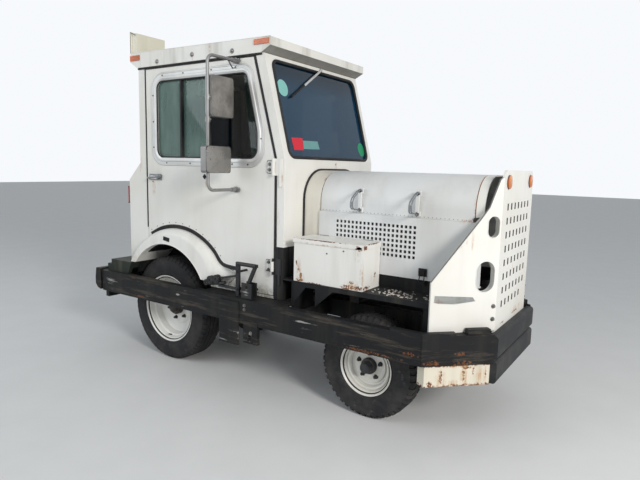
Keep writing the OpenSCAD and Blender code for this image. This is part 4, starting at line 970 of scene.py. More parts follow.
class TUG_OT_cab_trim(bpy.types.Operator):
    """Adds the seals, bolts, rivets and fittings of the cab and its doors"""

    bl_idname = "tug.cab_trim"
    bl_label = "Cab trim"

    def roof(self):
        """Bolts, rain seal and edges of the roof, and the edge of the sign box."""
        bolts = bmesh.new()
        for x, z in ((-33, 1930), (282, 1943), (604, 1932)):
            add_dome(bolts, (x, -498, z), (x, -508, z), 11)
            add_rod(bolts, (x, -498, z), (x, -500, z), 15, 20)
        make_pair("roof_bolts", bolts, "vehicle", "cast_iron", "bolt_steel")
        seal = bmesh.new()
        add_tube(seal, [(-228, -489, 1900), (812, -489, 1900)], 5)
        make_pair("roof_seal", seal, "vehicle", "rubber", "seal_rubber")
        edge = bmesh.new()
        add_tube(edge, [(-299, -489, 2004), (-300, -489, 2136), (-300, -246, 2136), (-299, -246, 2004)],
                 2.5)
        add_tube(edge, [(-299, -489, 2136), (-252, -489, 2114)], 2)
        make_piece("sign_box_edge", edge, "vehicle", "rubber", "seal_rubber")
        lip = bmesh.new()
        add_tube(lip, [(-292, -497, 2001), (-292, -497, 1948)], 3)
        add_tube(lip, [(-292, -497, 2001), (879, -497, 1984)], 2.5)
        make_pair("roof_edge", lip, "vehicle", "cab_paint", "roof_white")

    def post(self, sizes):
        """The door's hinge bolts, with the strips and the corner plate on the post in front of it."""
        bolts = bmesh.new()
        for z, spread in ((747, ((877, 20), (877, -23))), (1296, ((876, 15), (876, -15)))):
            for x, rise in spread:
                add_bolt(bolts, (x, DOOR_Y - 5, z + rise), (0, -1, 0), sizes.bolt * 1000 * 0.85)
        make_pair("hinge_bolts", bolts, "door", "cast_iron", "bolt_steel", angle=40)
        cover = bmesh.new()
        for low, high in ((643, 793), (1190, 1342)):
            add_block(cover, (943, DOOR_Y - 8, low), (957, DOOR_Y, high))
        for low, high in ((714, 781), (1262, 1329)):
            add_block(cover, (917, DOOR_Y - 4, low), (943, DOOR_Y, high))
        make_pair("post_strip", cover, "vehicle", "cab_paint", "cab_white", bevel=1)
        # Dark outlines round the hinge leaves: painted shadow under their edges, and dirt
        outline = bmesh.new()
        for low, high in ((714, 781), (1261, 1330)):
            loop = rounded_loop((856, low), (911, high), 4, 2)
            add_tube(outline, upright(loop, DOOR_Y - 0.8), 1.5, closed=True, sides=6)
        make_pair("hinge_outline", outline, "door", "rubber", "seal_rubber")
        plate = bmesh.new()
        add_block(plate, (935, DOOR_Y - 1.5, 562), (976, DOOR_Y, 858))
        add_block(plate, (975, DOOR_Y - 1.5, 562), (976.5, -430, 858))
        make_pair("corner_plate", plate, "vehicle", "black_steel", "bracket_black", bevel=0.5)

    def door_arch(self, sizes):
        """Double rubber strip, flange and rivets round the door's cut-out for the fender."""
        strip = bmesh.new()
        for grow in (7, 18):
            add_tube(strip, upright(arch_line(grow), DOOR_Y - 1), 6.5)
        make_pair("arch_seal", strip, "door", "rubber", "seal_rubber")
        flange = bmesh.new()
        add_band(flange, arch_line(4), arch_line(27), DOOR_Y + 0.4, DOOR_Y - 1.4)
        make_pair("arch_flange", flange, "door", "cab_paint", "cab_white")
        heads = bmesh.new()
        for x, z in around(ARCH_OUT, [(a, 505 + (118 - a) * 0.17) for a in range(118, 34, -7)]):
            add_dome(heads, (x, DOOR_Y, z), (x, DOOR_Y - 2.6, z), sizes.rivet * 1000, 10)
        make_pair("arch_rivets", heads, "door", "cast_iron", "bolt_steel")

    def door_fittings(self):
        """The door's handle with its lock, its plug and the seal in the gap round it."""
        grip = bmesh.new()
        add_block(grip, (-140, DOOR_Y - 2.5, 1192), (-20, DOOR_Y, 1232))
        add_tube(grip, [(-132, -488, 1204), (-128, -512, 1206), (-110, -520, 1208), (-52, -520, 1216),
                        (-34, -512, 1220)], 6)
        add_rod(grip, (-30, DOOR_Y, 1221), (-30, -514, 1221), 13, 20)
        add_rod(grip, (-30, -514, 1221), (-30, -518, 1221), 9, 20)
        make_pair("door_handle", grip, "door", "aluminium", "latch_steel", bevel=0.8)
        plug = bmesh.new()
        add_rod(plug, (370, DOOR_Y, 1228), (370, DOOR_Y - 5, 1228), 15, 4)
        add_rod(plug, (370, DOOR_Y, 1228), (370, DOOR_Y - 8, 1228), 6, 12)
        make_pair("door_plug", plug, "door", "rubber", "seal_rubber")
        seal = bmesh.new()
        inner = [(-161, 880), (-161, 1894), (754, 1894), (912, 1337), (912, 563)]
        outer = [(-168, 880), (-168, 1900), (768, 1900), (924, 1342), (931, 563)]
        add_band(seal, inner, outer, DOOR_Y + 1, DOOR_Y - 2.5)
        make_pair("door_gap_seal", seal, "vehicle", "rubber", "seal_rubber")

    def fender(self):
        """Smooth fender with the tunnel and inner wall of its wheel well."""
        lip = smooth_line(around(ARCH_IN, [(a, ARCH_R) for a in (
            144.07, 135, 126, 116, 105, 94, 83, 72, 60, 50, 42, 37, 33.5, 31, 29.74)]))
        face = smooth_line([(-281, 640), *around(ARCH_OUT, FENDER_FACE), (444, 645), (450, 628), (454, 616),
                            (457, 606)])
        rim = smooth_line([(-302, 640), *around(ARCH_OUT, FENDER_RIM), (538, 693), (598, 674), (616, 652),
                           (560, 606)])
        foot = DOOR_Y - 0.3
        bm = bmesh.new()
        lines = [upright(lip, FENDER_Y)]
        for t in (math.radians(11.25 * step) for step in range(9)):
            bend = [f + (r - f) * math.sin(t) for f, r in zip(face, rim)]
            lines.append(upright(bend, -487 - 53 * math.cos(t)))
        add_bar(bm, [*lines, upright(rim, foot), upright(lip, foot)])
        # The tunnel is white only from 144 to 130 degrees by the lip; the rest of it and the inner wall are
        # black, painted shade in the wheel well
        well = bmesh.new()
        for part, start, end in ((bm, 144, 130), (well, 158.4, 144), (well, 130, 21.6)):
            turns = [start + (end - start) * i / 20 for i in range(21)]
            near, far = (around(ARCH_IN, [(a, r) for a in turns]) for r in (ARCH_R, ARCH_R + 6))
            add_band(part, near, far, foot, WELL_Y)
        add_prism(well, around(ARCH_IN, [(a, ARCH_R + 3) for a in range(158, 20, -4)]), WELL_Y - 6, WELL_Y)
        pieces = make_pair("fender_body", bm, "vehicle", "cab_paint", "fender_white", angle=50)
        for piece, node in zip(pieces, both("fender")):
            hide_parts(node)
        make_pair("wheel_well", well, "vehicle", "black_steel", "bracket_black")

    def fender_trim(self):
        """Blank plate and rolled lip of the fender."""
        plate = bmesh.new()
        tilt = Matrix.Rotation(math.radians(8), 4, "Y")
        add_block(plate, (50, FENDER_Y - 2, 812), (108, FENDER_Y, 838), tilt)
        make_pair("fender_plate", plate, "vehicle", "black_steel", "bracket_black", bevel=0.8)
        lip = bmesh.new()
        line = around(ARCH_IN, [(a, ARCH_R - 1) for a in range(30, 144, 4)])
        add_tube(lip, upright(line, FENDER_Y + 2), 4)
        make_pair("fender_lip", lip, "vehicle", "cab_paint", "fender_white")

    def execute(self, context):
        sizes = context.scene.tug_sizes
        self.roof()
        self.post(sizes)
        self.door_arch(sizes)
        self.door_fittings()
        self.fender()
        self.fender_trim()
        return {"FINISHED"}


# Section of the door window's frame: growth of the opening's outline and height over the door's skin
WINDOW_SECTION = [(43.5, 0.2), (43.5, 3.4), (41, 5.4), (37, 5.4), (34, 3.2), (19, 3.2), (16, 6.4), (7, 7.2),
                  (2, 5.6), (-6, 3), (-6, -24), (-1.2, -24), (-1.2, 0.2)]
WINDOW_SCREWS = ((2, 1846), (192, 1846), (430, 1846), (620, 1846), (-88, 1727), (-88, 1564), (-88, 1403),
                 (34, 1306), (247, 1306), (420, 1306), (596, 1306), (716, 1306), (812, 1449), (783, 1549),
                 (757, 1641), (731, 1741))
PANE_Y = -473

# Blank patches on the windscreen: colour, and outline as pairs of y and slope in mm
SCREEN_PATCHES = {
    "patch_turquoise": ((0.22, 0.52, 0.47), ring((-368, -176), (46, 48), 24)),
    "patch_red": ((0.62, 0.012, 0.030), [(-377, -458), (-271, -456), (-280, -527), (-371, -529)]),
    "patch_teal": ((0.13, 0.30, 0.29), [(-270, -470), (-120, -468), (-114, -516), (-276, -520)]),
    "patch_green": ((0.01, 0.30, 0.13), ring((388, -498), (40, 46), 24)),
}


def door_loop(grow):
    """The door's window opening, grown by that many mm, as pairs of x and z."""
    left, right, low, high = -62 - grow, 792 + grow, 1332 - grow, 1820 + grow
    lean = 88 / 341
    front = 794 + grow * 1.033
    knee = 1480 + (front - right) / lean
    corners = [(right, low), (right, knee), (front - (high - 1480) * lean, high), (left, high), (left, low)]
    return rounded_polygon(corners, (60 + grow, 240, 46 + grow, 60 + grow, 60 + grow))


class TUG_OT_windows(bpy.types.Operator):
    """Adds the window rubbers, frame screws, sliding pane and blank windscreen patches"""

    bl_idname = "tug.windows"
    bl_label = "Windows"

    def rubbers(self, radius):
        """Seals round the windscreen and the rear window."""
        screen = bmesh.new()
        loop = rounded_loop((-432, -574), (432, -30), 45)
        add_tube(screen, [on_screen(y, s, 1) for y, s in loop], radius * 1.1, closed=True)
        add_tube(screen, [on_screen(y, s, -24) for y, s in loop], radius, closed=True)
        make_piece("windscreen_rubber", screen, "vehicle", "rubber", "seal_rubber")
        rear = bmesh.new()
        loop = rounded_loop((-360, 1370), (360, 1800), 50)
        add_tube(rear, [(-232, y, z) for y, z in loop], radius, closed=True)
        make_piece("rear_window_rubber", rear, "vehicle", "rubber", "seal_rubber")

    def door_frame(self):
        """Aluminium frame of the door's window with its rubber, middle bar and screws."""
        bar = bmesh.new()
        rows = [upright(door_loop(grow), DOOR_Y - out) for grow, out in WINDOW_SECTION]
        add_strips(bar, rows, closed=True)
        frames = make_pair("window_frame", bar, "door", "aluminium", "window_aluminium")
        for piece, node in zip(frames, both("door_window")):
            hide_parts(node)
        rubber = bmesh.new()
        for y, radius in ((-486, 4.4), (-463, 4.2)):
            add_tube(rubber, upright(door_loop(-9), y), radius, closed=True)
        add_block(rubber, (158, -487, 1340), (171, -463, 1813))
        make_pair("window_rubber", rubber, "door", "rubber", "seal_rubber")
        screws = bmesh.new()
        for x, z in WINDOW_SCREWS:
            add_rod(screws, (x, DOOR_Y - 3, z), (x, DOOR_Y - 5.6, z), 5, 12, 4)
        make_pair("window_screws", screws, "door", "black_steel", "seal_rubber")

    def panes(self):
        """Front pane, and the fixed and the sliding rear pane with its rail."""
        outline = door_loop(-7)
        front = bmesh.new()
        add_prism(front, [(max(x, 171), z) for x, z in outline if x > 150], PANE_Y, PANE_Y + 4)
        make_pair("door_glass", front, "door", "tinted_glass", "door_glass")
        rear = bmesh.new()
        corners = [(x, z) for x, z in outline if x < 158]
        add_prism(rear, [*corners, (158, 1339), (158, 1813)], PANE_Y, PANE_Y + 4)
        add_block(rear, (171, -465, 1341), (392, -461, 1811))
        make_pair("sliding_pane", rear, "door", "tinted_glass", "sliding_glass")
        rail = bmesh.new()
        add_block(rail, (388, -467, 1341), (400, -458, 1811))
        make_pair("sliding_rail", rail, "door", "rubber", "seal_rubber")

    def patch(self, name, outline):
        """Thin blank patch on the windscreen, from pairs of y and slope in mm."""
        bm = bmesh.new()
        face = bm.faces.new([bm.verts.new(at(*on_screen(y, s, -7.2))) for y, s in outline])
        bmesh.ops.recalc_face_normals(bm, faces=[face])
        bmesh.ops.solidify(bm, geom=[face], thickness=0.0004)
        make_piece(name, bm, "vehicle", "cream_plastic", name)

    def execute(self, context):
        self.rubbers(context.scene.tug_sizes.seal * 1000)
        self.door_frame()
        self.panes()
        for name, (tone, outline) in SCREEN_PATCHES.items():
            plain_finish(name, tone, 0.55, grain=30, depth=0.1, variation=0.15)
            self.patch(name, outline)
        return {"FINISHED"}


class TUG_OT_mirrors(bpy.types.Operator):
    """Adds the wiper's details, and the shells, glass and clamps of the mirrors"""

    bl_idname = "tug.mirrors"
    bl_label = "Mirrors and wiper"

    def shell(self, bm, y, z, x, peak):
        """Moulded back of a mirror head at x, with its four creases; y and z are its edges in mm."""
        loop = rounded_loop((y[0] + 2, z[0] + 2), (y[1] - 2, z[1] - 2), 22, 4)
        base = bm.faces.new([bm.verts.new(at(x, a, b)) for a, b in loop])
        grown = bmesh.ops.extrude_face_region(bm, geom=[base])["geom"]
        top = [v for v in grown if isinstance(v, bmesh.types.BMVert)]
        bmesh.ops.translate(bm, vec=(0.003, 0, 0), verts=top)
        face = [f for f in grown if isinstance(f, bmesh.types.BMFace)]
        bmesh.ops.inset_region(bm, faces=face, thickness=0.010, depth=0.002, use_even_offset=True)
        pole = bmesh.ops.poke(bm, faces=face)
        bmesh.ops.translate(bm, vec=(peak / 1000, 0, 0), verts=pole["verts"])

    def mirrors(self):
        """Shells, rims, glass and clamps of the mirror heads."""
        heads = (("mirror_back_upper", (-704, -536), (1558, 1774), 650, 3, "mirror_plastic"),
                 ("mirror_back_lower", (-740, -550), (1256, 1402), 644, 15, "mirror_lower_shell"))
        rims = bmesh.new()
        glass = bmesh.new()
        for name, y, z, x, peak, finish in heads:
            back = bmesh.new()
            self.shell(back, y, z, x, peak)
            make_pair(name, back, "door", "mirror_plastic", finish, angle=14)
            loop = rounded_loop((y[0] + 3, z[0] + 3), (y[1] - 3, z[1] - 3), 14, 4)
            for rim_x in (606, 643):
                add_tube(rims, [(rim_x, a, b) for a, b in loop], 2.6, closed=True)
            add_block(glass, (601.5, y[0] + 10, z[0] + 10), (604, y[1] - 10, z[1] - 10))
        make_pair("mirror_rims", rims, "door", "rubber", "seal_rubber")
        make_pair("mirror_glass", glass, "door", "aluminium", "mirror_silver", bevel=0.8)
        clamps = bmesh.new()
        for z in (1540, 1655, 1330):
            add_rod(clamps, (630, -712, z - 14), (630, -712, z + 14), 14, 20)
            add_bolt(clamps, (644, -712, z), (1, 0, 0), 6, washer=False)
        for z in (1162, 1877):
            add_rod(clamps, (630, -530, z), (630, -486, z), 12.5, 20)
            add_rod(clamps, (630, -500, z), (630, -486, z), 17, 20)
            for x in (604, 656):
                add_rod(clamps, (x, -488, z), (x, -493, z), 5, 6)
        add_tube(clamps, [(630, -560, 1877), (604, -500, 1846), (600, -487, 1840)], 4)
        make_pair("mirror_clamps", clamps, "door", "mirror_plastic", "mirror_tube", angle=40)

    def wiper(self):
        """Arm and rubber of the wiper, and the bare metal of its outer half."""
        arm = bmesh.new()
        add_rod(arm, on_screen(44, -16, 0), on_screen(44, -16, 15), 10, 16)
        add_tube(arm, [on_screen(44, -16, 11), on_screen(-60, -76, 12), on_screen(-172, -141, 9)], 4.5)
        make_piece("wiper_arm", arm, "vehicle", "aluminium", "window_aluminium")
        mesh = NODES["wiper"].data
        mesh.materials.append(PALETTE["window_aluminium"])
        for face in mesh.polygons:
            if face.center.y > -0.115:
                face.material_index = 1
        rubber = bmesh.new()
        add_tube(rubber, [on_screen(-128, -115, 3), on_screen(-172, -141, 4), on_screen(-315, -223, 1)], 5)
        make_piece("wiper_rubber", rubber, "vehicle", "rubber", "seal_rubber")

    def execute(self, context):
        self.mirrors()
        self.wiper()
        return {"FINISHED"}


# Front end


def bonnet_arch(x, out, low=1061):
    """Places in mm over the bonnet's skin at x, out of it by out, from right to left."""
    r, half, crown = 165 + out, 300 + out, 1282 + out
    right = [(x, -half, low), (x, -half, crown - r)]
    for t in (math.radians(90 * step / 8) for step in range(1, 9)):
        right.append((x, -half + r - r * math.cos(t), crown - r + r * math.sin(t)))
    return right + [(x, -y, z) for x, y, z in reversed(right)]


class TUG_OT_bonnet_trim(bpy.types.Operator):
    """Adds the bonnet's seams, latches, clips and rivets, and the toolbox's fittings"""

    bl_idname = "tug.bonnet_trim"
    bl_label = "Bonnet trim"

    def latch(self, bm, x):
        """Bowed over-centre latch between its pivot and its catch."""
        for z in (1183, 1081):
            add_rod(bm, (x, -308, z), (x, -322, z), 11, 6)
            add_rod(bm, (x, -322, z), (x, -327, z), 6, 12)
        bow = [(-324, 1186), (-342, 1180), (-392, 1146), (-400, 1132), (-402, 1102), (-392, 1091),
               (-322, 1082)]
        for side in (-6, 6):
            add_tube(bm, [(x + side, y, z) for y, z in bow], 3.2)
        add_tube(bm, [(x, -318, 1183), (x, -318, 1081)], 4)
        add_block(bm, (x - 8, -406, 1100), (x + 8, -399, 1130))

    def seams(self):
        """Rubber at the cab, and the seam between the lid and the nose with the dark gap under it."""
        rubber = bmesh.new()
        add_tube(rubber, bonnet_arch(978, 3, 752), 7.5)
        add_tube(rubber, bonnet_arch(1092.5, -4, 752), 3.2)
        make_piece("bonnet_rubber", rubber, "vehicle", "rubber", "seal_rubber")
        seam = bmesh.new()
        add_tube(seam, bonnet_arch(1967.5, -4, 1064), 4.2)
        make_piece("bonnet_seam", seam, "vehicle", "bonnet_paint", "seam_rust")
        gap = bmesh.new()
        corners = ((1961, 1082), (1990, 1086), (1956, 1046))
        add_bar(gap, [[(x, -299.5, z), (x, -301.4, z)] for x, z in corners])
        make_pair("seam_gap", gap, "vehicle", "cast_iron", "hub_grease")

    def lid(self):
        """Rivets, latches, clips and hinge barrels of the lid and the side panels."""
        heads = bmesh.new()
        for x in (1110 + 21.5 * i for i in range(40)):
            add_dome(heads, (x, -300, 1068), (x, -301.4, 1068), 2.2, 8)
        make_pair("lid_rivets", heads, "bonnet_lid", "bonnet_paint", "bolt_steel")
        latches = bmesh.new()
        for x in (1352, 1680):
            self.latch(latches, x)
        make_piece("bonnet_latches", latches, "bonnet_lid", "aluminium", "latch_steel", angle=40)
        clips = bmesh.new()
        for x in (1724, 1180):
            add_block(clips, (x - 22, -317, 772), (x + 22, -310, 812))
            add_block(clips, (x - 14, -323, 780), (x + 14, -316, 804))
            add_tube(clips, [(x - 12, -320, 776), (x - 14, -326, 746), (x + 12, -326, 740),
                             (x + 12, -320, 774)], 3)
            add_block(clips, (x - 16, -318, 728), (x + 16, -312, 750))
        make_pair("panel_clips", clips, "vehicle", "black_steel", "bracket_black", bevel=1)
        hinge = bmesh.new()
        for x in (1250, 1800):
            for start, end in ((x - 32, x - 1), (x + 91, x + 122)):
                add_rod(hinge, (start, 308, 1067), (end, 308, 1067), 5.2, 14)
                add_block(hinge, (start, 306, 1040), (end, 313, 1063))
        make_piece("lid_hinge_barrels", hinge, "vehicle", "bonnet_paint", "bonnet_grey")

    def toolbox(self):
        """Holes, lower seam, torn corner of the lid and hinge of the toolbox."""
        holes = bmesh.new()
        # Dark discs on the face: painted shade inside the holes
        for x, z in ((1268, 859), (1369, 882)):
            add_rod(holes, (x, -495, z), (x, -496.5, z), 4, 12)
        add_tube(holes, [(1062, -492, 697), (1478, -492, 697)], 2)
        make_piece("toolbox_holes", holes, "vehicle", "black_steel", "seal_rubber")
        # Dark sheet over the torn corner of the lid: painted shade inside the tear
        tear = bmesh.new()
        outline = [(1441, 899), (1449, 910), (1462, 914), (1474, 911), (1478, 903), (1468, 900.5),
                   (1460, 899.6)]
        add_sheet(tear, upright(outline, -500.1), 0.0005)
        make_piece("toolbox_lid_hole", tear, "toolbox_lid", "black_steel", "hub_grease")
        barrel = bmesh.new()
        for x in (1100, 1380):
            add_rod(barrel, (x, -312.6, 924.4), (x + 60, -312.6, 924.4), 1.6, 10)
        make_piece("toolbox_hinge", barrel, "toolbox_lid", "cast_iron", "bolt_steel")

    def execute(self, context):
        self.seams()
        self.lid()
        self.toolbox()
        return {"FINISHED"}


class TUG_OT_shield_trim(bpy.types.Operator):
    """Adds the shield's lamps, bolts, hole rims and blank patch"""

    bl_idname = "tug.shield_trim"
    bl_label = "Shield trim"

    def execute(self, context):
        sizes = context.scene.tug_sizes
        lenses = bmesh.new()
        bezels = bmesh.new()
        for y in (-207, 207):
            add_dome(lenses, (2092, y, 1253), (2098, y, 1253), 31.6, 28)
            circle = ring((y, 1253), (32, 32), 32)
            add_tube(bezels, [(SHIELD_X + 2, a, b) for a, b in circle], 1.8, closed=True)
        make_piece("shield_lenses", lenses, "vehicle", "amber_lens", "shield_amber_lens")
        make_piece("shield_bezels", bezels, "vehicle", "rubber", "seal_rubber")
        bolts = bmesh.new()
        for z in (674, 612):
            add_bolt(bolts, on_wing(16, z), WING_OUT, sizes.bolt * 1000 * 0.9)
        make_pair("shield_bolts", bolts, "vehicle", "cast_iron", "bolt_steel", angle=40)
        patch = bmesh.new()
        outline = [(112, 702), (128, 722), (322, 736), (324, 704), (300, 698), (220, 692)]
        add_sheet(patch, [on_wing(s, z, 0.5) for s, z in outline], -0.0006)
        make_piece("shield_patch", patch, "vehicle", "mirror_plastic", "peeled_patch")
        rims = bmesh.new()
        for along, z, width, height in WING_HOLES:
            low, high = (along - width / 2, z - height / 2), (along + width / 2, z + height / 2)
            loop = rounded_loop(low, high, width / 2 - 0.5, 8)
            add_tube(rims, [on_wing(s, h, 0.2) for s, h in loop], 2.2, closed=True)
        make_pair("hole_rims", rims, "vehicle", "cab_paint", "shield_white")
        return {"FINISHED"}


# Height of the shelves' top in mm
SHELF_Z = 688


class TUG_OT_rail_trim(bpy.types.Operator):
    """Adds the rails' bolts, welds and plates, the debris on the shelf and the rear fittings"""

    bl_idname = "tug.rail_trim"
    bl_label = "Rail trim"

    def rail(self, bolt):
        """Bolts, welds, rear corner and lashing eye of the side rail."""
        steel = bmesh.new()
        for z in (523, 500):
            add_bolt(steel, (790, RAIL_Y, z), (0, -1, 0), bolt * 0.8)
        add_bolt(steel, (841, RAIL_Y - 4, 372), (0, -1, 0), bolt * 0.9)
        make_pair("rail_bolts", steel, "vehicle", "cast_iron", "bolt_steel", angle=40)
        weld = bmesh.new()
        for x, y, low, high, radius in ((1857, RAIL_Y, 418, 553, 4), (600, RAIL_Y - 1, 410, 530, 3.5),
                                        (749, RAIL_Y - 1, 410, 530, 3.5), (-522, RAIL_Y, 418, 553, 4)):
            add_tube(weld, [(x, y, low), (x, y, high)], radius)
        make_pair("rail_welds", weld, "vehicle", "black_steel", "rail_black")
        corner = bmesh.new()
        corners = [(-556, 416), (-592, 426), (-614, 452), (-614, 500), (-604, 566), (-556, 566)]
        outline = rounded_polygon(corners, [1, 6, 10, 8, 7, 1], 3)
        add_prism(corner, outline, RAIL_Y + 1, -470)
        make_pair("rail_end", corner, "vehicle", "black_steel", "rail_black", bevel=3)
        eye = bmesh.new()
        add_tube(eye, upright(ring((836, 330), (17, 17), 20), RAIL_Y - 4), 4, closed=True)
        make_pair("lashing_eye", eye, "vehicle", "black_steel", "bracket_black")

    def debris(self, count):
        """Flakes of paint and dirt that lie on the right shelf."""
        flakes = bmesh.new()
        chance = random.Random(5)
        for _ in range(count):
            x, y = chance.triangular(1494, 1850, 1600), chance.triangular(-496, -316, -440)
            size = chance.triangular(2, 8, 3)
            turn = Matrix.Rotation(chance.uniform(0, 3), 4, "Z")
            low = (x - size, y - size * 0.6, SHELF_Z)
            high = (x + size, y + size * 0.6, SHELF_Z + size * 0.5)
            add_block(flakes, low, high, turn)
        make_piece("shelf_debris", flakes, "vehicle", "weight_paint", "paint_flakes")

    def linkage(self, bolt):
        """Bolts, rollers and shaft of the linkage at the foot of the right door."""
        links = bmesh.new()
        for x, z, y in ((500, 626, -576), (548, 638, -576), (467, 608, -576), (790, 626, -588),
                        (709, 600, -566), (709, 700, -566)):
            add_bolt(links, (x, y + 1, z), (0, -1, 0), bolt * 0.75, height=3)
        for x, z, radius in ((500, 626, 25), (548, 638, 25), (467, 608, 18)):
            add_rod(links, (x, -552, z), (x, -577, z), radius, 28)
            add_rod(links, (x, -577, z), (x, -580, z), radius - 7, 28, radius - 9)
        add_tube(links, [(709, -561, 748), (780, -561, 748), (846, -561, 748)], 12)
        make_piece("linkage_bolts", links, "door_right", "cast_iron", "linkage_black", angle=40)

    def rear(self, bolt):
        """Frames of the tail lamps and bolts of the towing jaw."""
        tail = bmesh.new()
        for y in (-430, 430):
            for z in (1140, 1027):
                add_block(tail, (-377, y - 52, z), (-351, y + 52, z + 3))
        make_piece("tail_lamp_frames", tail, "vehicle", "rubber", "seal_rubber", bevel=0.8)
        jaw = bmesh.new()
        for y in (-70, 70):
            for z in (395, 515):
                add_bolt(jaw, (-576, y, z), (-1, 0, 0), bolt)
        make_piece("jaw_bolts", jaw, "vehicle", "cast_iron", "bolt_steel", angle=40)

    def execute(self, context):
        sizes = context.scene.tug_sizes
        bolt = sizes.bolt * 1000
        self.rail(bolt)
        self.debris(sizes.debris)
        self.linkage(bolt)
        self.rear(bolt)
        return {"FINISHED"}


# Inside the cab


# The cloth simulation of the pads, and the depth and half width of their sewn channels, the latter
# as a share of half the pad's width
VOXEL = 0.006
PRESSURE = 4.0
CLOTH_FRAMES = 20
SWELL = 0.011
SEAM_DEPTH = 0.008
SEAM_HALF = 0.11


def solved(piece):
    """The mesh of piece with its modifiers carried out."""
    graph = bpy.context.evaluated_depsgraph_get()
    return bpy.data.meshes.new_from_object(piece.evaluated_get(graph))


def swell(bm):
    """Blows bm up as a closed cloth cover, moving no point by more than SWELL."""
    scene = bpy.context.scene
    mesh = bpy.data.meshes.new("pad")
    bm.to_mesh(mesh)
    pad = bpy.data.objects.new("pad", mesh)
    scene.collection.objects.link(pad)
    voxels = pad.modifiers.new("Voxels", "REMESH")
    voxels.mode = "VOXEL"
    voxels.voxel_size = VOXEL
    start = solved(pad)
    pad.modifiers.clear()
    pad.data = start
    cloth = pad.modifiers.new("Cover", "CLOTH")
    cloth.settings.quality = 4
    cloth.settings.use_pressure = True
    cloth.settings.uniform_pressure_force = PRESSURE
    cloth.settings.effector_weights.gravity = 0
    for moment in range(1, CLOTH_FRAMES + 1):
        scene.frame_set(moment)
    blown = solved(pad)
    for after, before in zip(blown.vertices, start.vertices):
        move = after.co - before.co
        if move.length > SWELL:
            after.co = before.co + move * (SWELL / move.length)
    bpy.data.objects.remove(pad)
    scene.frame_set(1)
    bm.clear()
    bm.from_mesh(blown)
    for used in (mesh, start, blown):
        bpy.data.meshes.remove(used)


def cushion(name, low, high, seams, axis=2):
    """Pads of both seats between two corners in mm, with sewn channels across them at seams.

    axis is the one that the cover bulges along, and seams are shares of half the width from the middle.
    """
    inset = SWELL * 1000 - 3
    bm = bmesh.new()
    add_block(bm, [v + inset for v in low], [v - inset for v in high])
    bmesh.ops.subdivide_edges(bm, edges=bm.edges[:], cuts=13, use_grid_fill=True)
    a, b = at(*low), at(*high)
    middle, half = (a + b) / 2, (b - a) / 2
    flat = [i for i in range(3) if i != axis]
    for vert in bm.verts:
        u = [max(-1.0, min(1.0, (vert.co[i] - middle[i]) / (half[i] - inset / 1000))) for i in range(3)]
        swelling = (1 - abs(u[flat[0]]) ** 3) * (1 - abs(u[flat[1]]) ** 3)
        for i in flat:
            other = flat[1] if i == flat[0] else flat[0]
            rounding = max(0.0, abs(u[other]) - 0.72) / 0.28
            vert.co[i] = middle[i] + (vert.co[i] - middle[i]) * (0.985 - 0.05 * rounding ** 2)
        vert.co[axis] = middle[axis] + (vert.co[axis] - middle[axis]) * (0.72 + 0.2 * swelling)
    swell(bm)
    for vert in bm.verts:
        u = [(vert.co[i] - middle[i]) / half[i] for i in range(3)]
        for seam in seams:
            away = abs(u[flat[1]] - seam) / SEAM_HALF
            if away < 1 and u[axis] > 0.3:
                vert.co[axis] -= SEAM_DEPTH * (1 - away) ** 0.7
    other = bm.copy()
    bmesh.ops.translate(other, vec=(0, -(low[1] + high[1]) / 1000, 0), verts=other.verts)
    for side, pad in zip(both(name), (bm, other)):
        piece = make_piece(side, pad, "vehicle", "seat_vinyl", "seat_vinyl", angle=80)
        smooth = piece.modifiers.new("Soft form", "SUBSURF")
        smooth.levels = smooth.render_levels = 1


class TUG_OT_cab_inside(bpy.types.Operator):
    """Adds the seats' pads, the dials, levers and pedals"""

    bl_idname = "tug.cab_inside"
    bl_label = "Cab inside"

    def seats(self):
        """Pads, backs and bases of both seats."""
        cushion("seat_pad", (222, -406, 808), (672, -10, 886), (-0.45, 0.0, 0.45))
        cushion("seat_back", (118, -403, 872), (196, -13, 1386), (-0.6, -0.2, 0.2, 0.6), axis=0)
        base = bmesh.new()
        for sign in (-1, 1):
            add_block(base, (262, sign * 103, 576), (598, sign * 253, 800))
            add_block(base, (240, sign * 40, 796), (640, sign * 376, 808))
        piece = make_piece("seat_bases", base, "vehicle", "dash_plastic", "dash_plastic", bevel=4)
        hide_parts("seats")

    def controls(self):
        """Dials and screen of the dashboard, hand levers and pedals."""
        dials = bmesh.new()
        for y in (120, 208, 296):
            add_rod(dials, (810, y, 1180), (802, y, 1184), 34, 32)
            add_rod(dials, (802, y, 1184), (798, y, 1186), 38, 32, 34)
        add_block(dials, (800, -300, 1120), (809, -100, 1220))
        make_piece("dials", dials, "vehicle", "dash_plastic", "latch_steel", bevel=1)
        levers = bmesh.new()
        add_tube(levers, [(690, 30, 576), (676, 30, 700), (640, 26, 860), (632, 24, 960)], 8)
        add_dome(levers, (632, 24, 955), (630, 24, 990), 22)
        add_tube(levers, [(620, 60, 576), (560, 60, 700), (500, 60, 760)], 10)
        tilt = Matrix.Rotation(math.radians(-30), 4, "Y")
        for y in (150, 270):
            add_block(levers, (850, y - 30, 620), (862, y + 30, 690), tilt)
            add_tube(levers, [(868, y, 655), (890, y, 700), (900, y, 800)], 7)
        make_piece("levers", levers, "vehicle", "dash_plastic", "seal_rubber")

    def execute(self, context):
        self.seats()
        self.controls()
        return {"FINISHED"}


# Stage


# The photograph's camera: focal length in pixels of a picture 640 wide, its turns in degrees, and
# its place in mm
VIEW_WIDTH = 640
VIEW_FOCAL = 532.68
VIEW_TURNS = (33.877, 7.848, -1.366)
VIEW_PLACE = (2754.3, -2775.1, 1304.6)


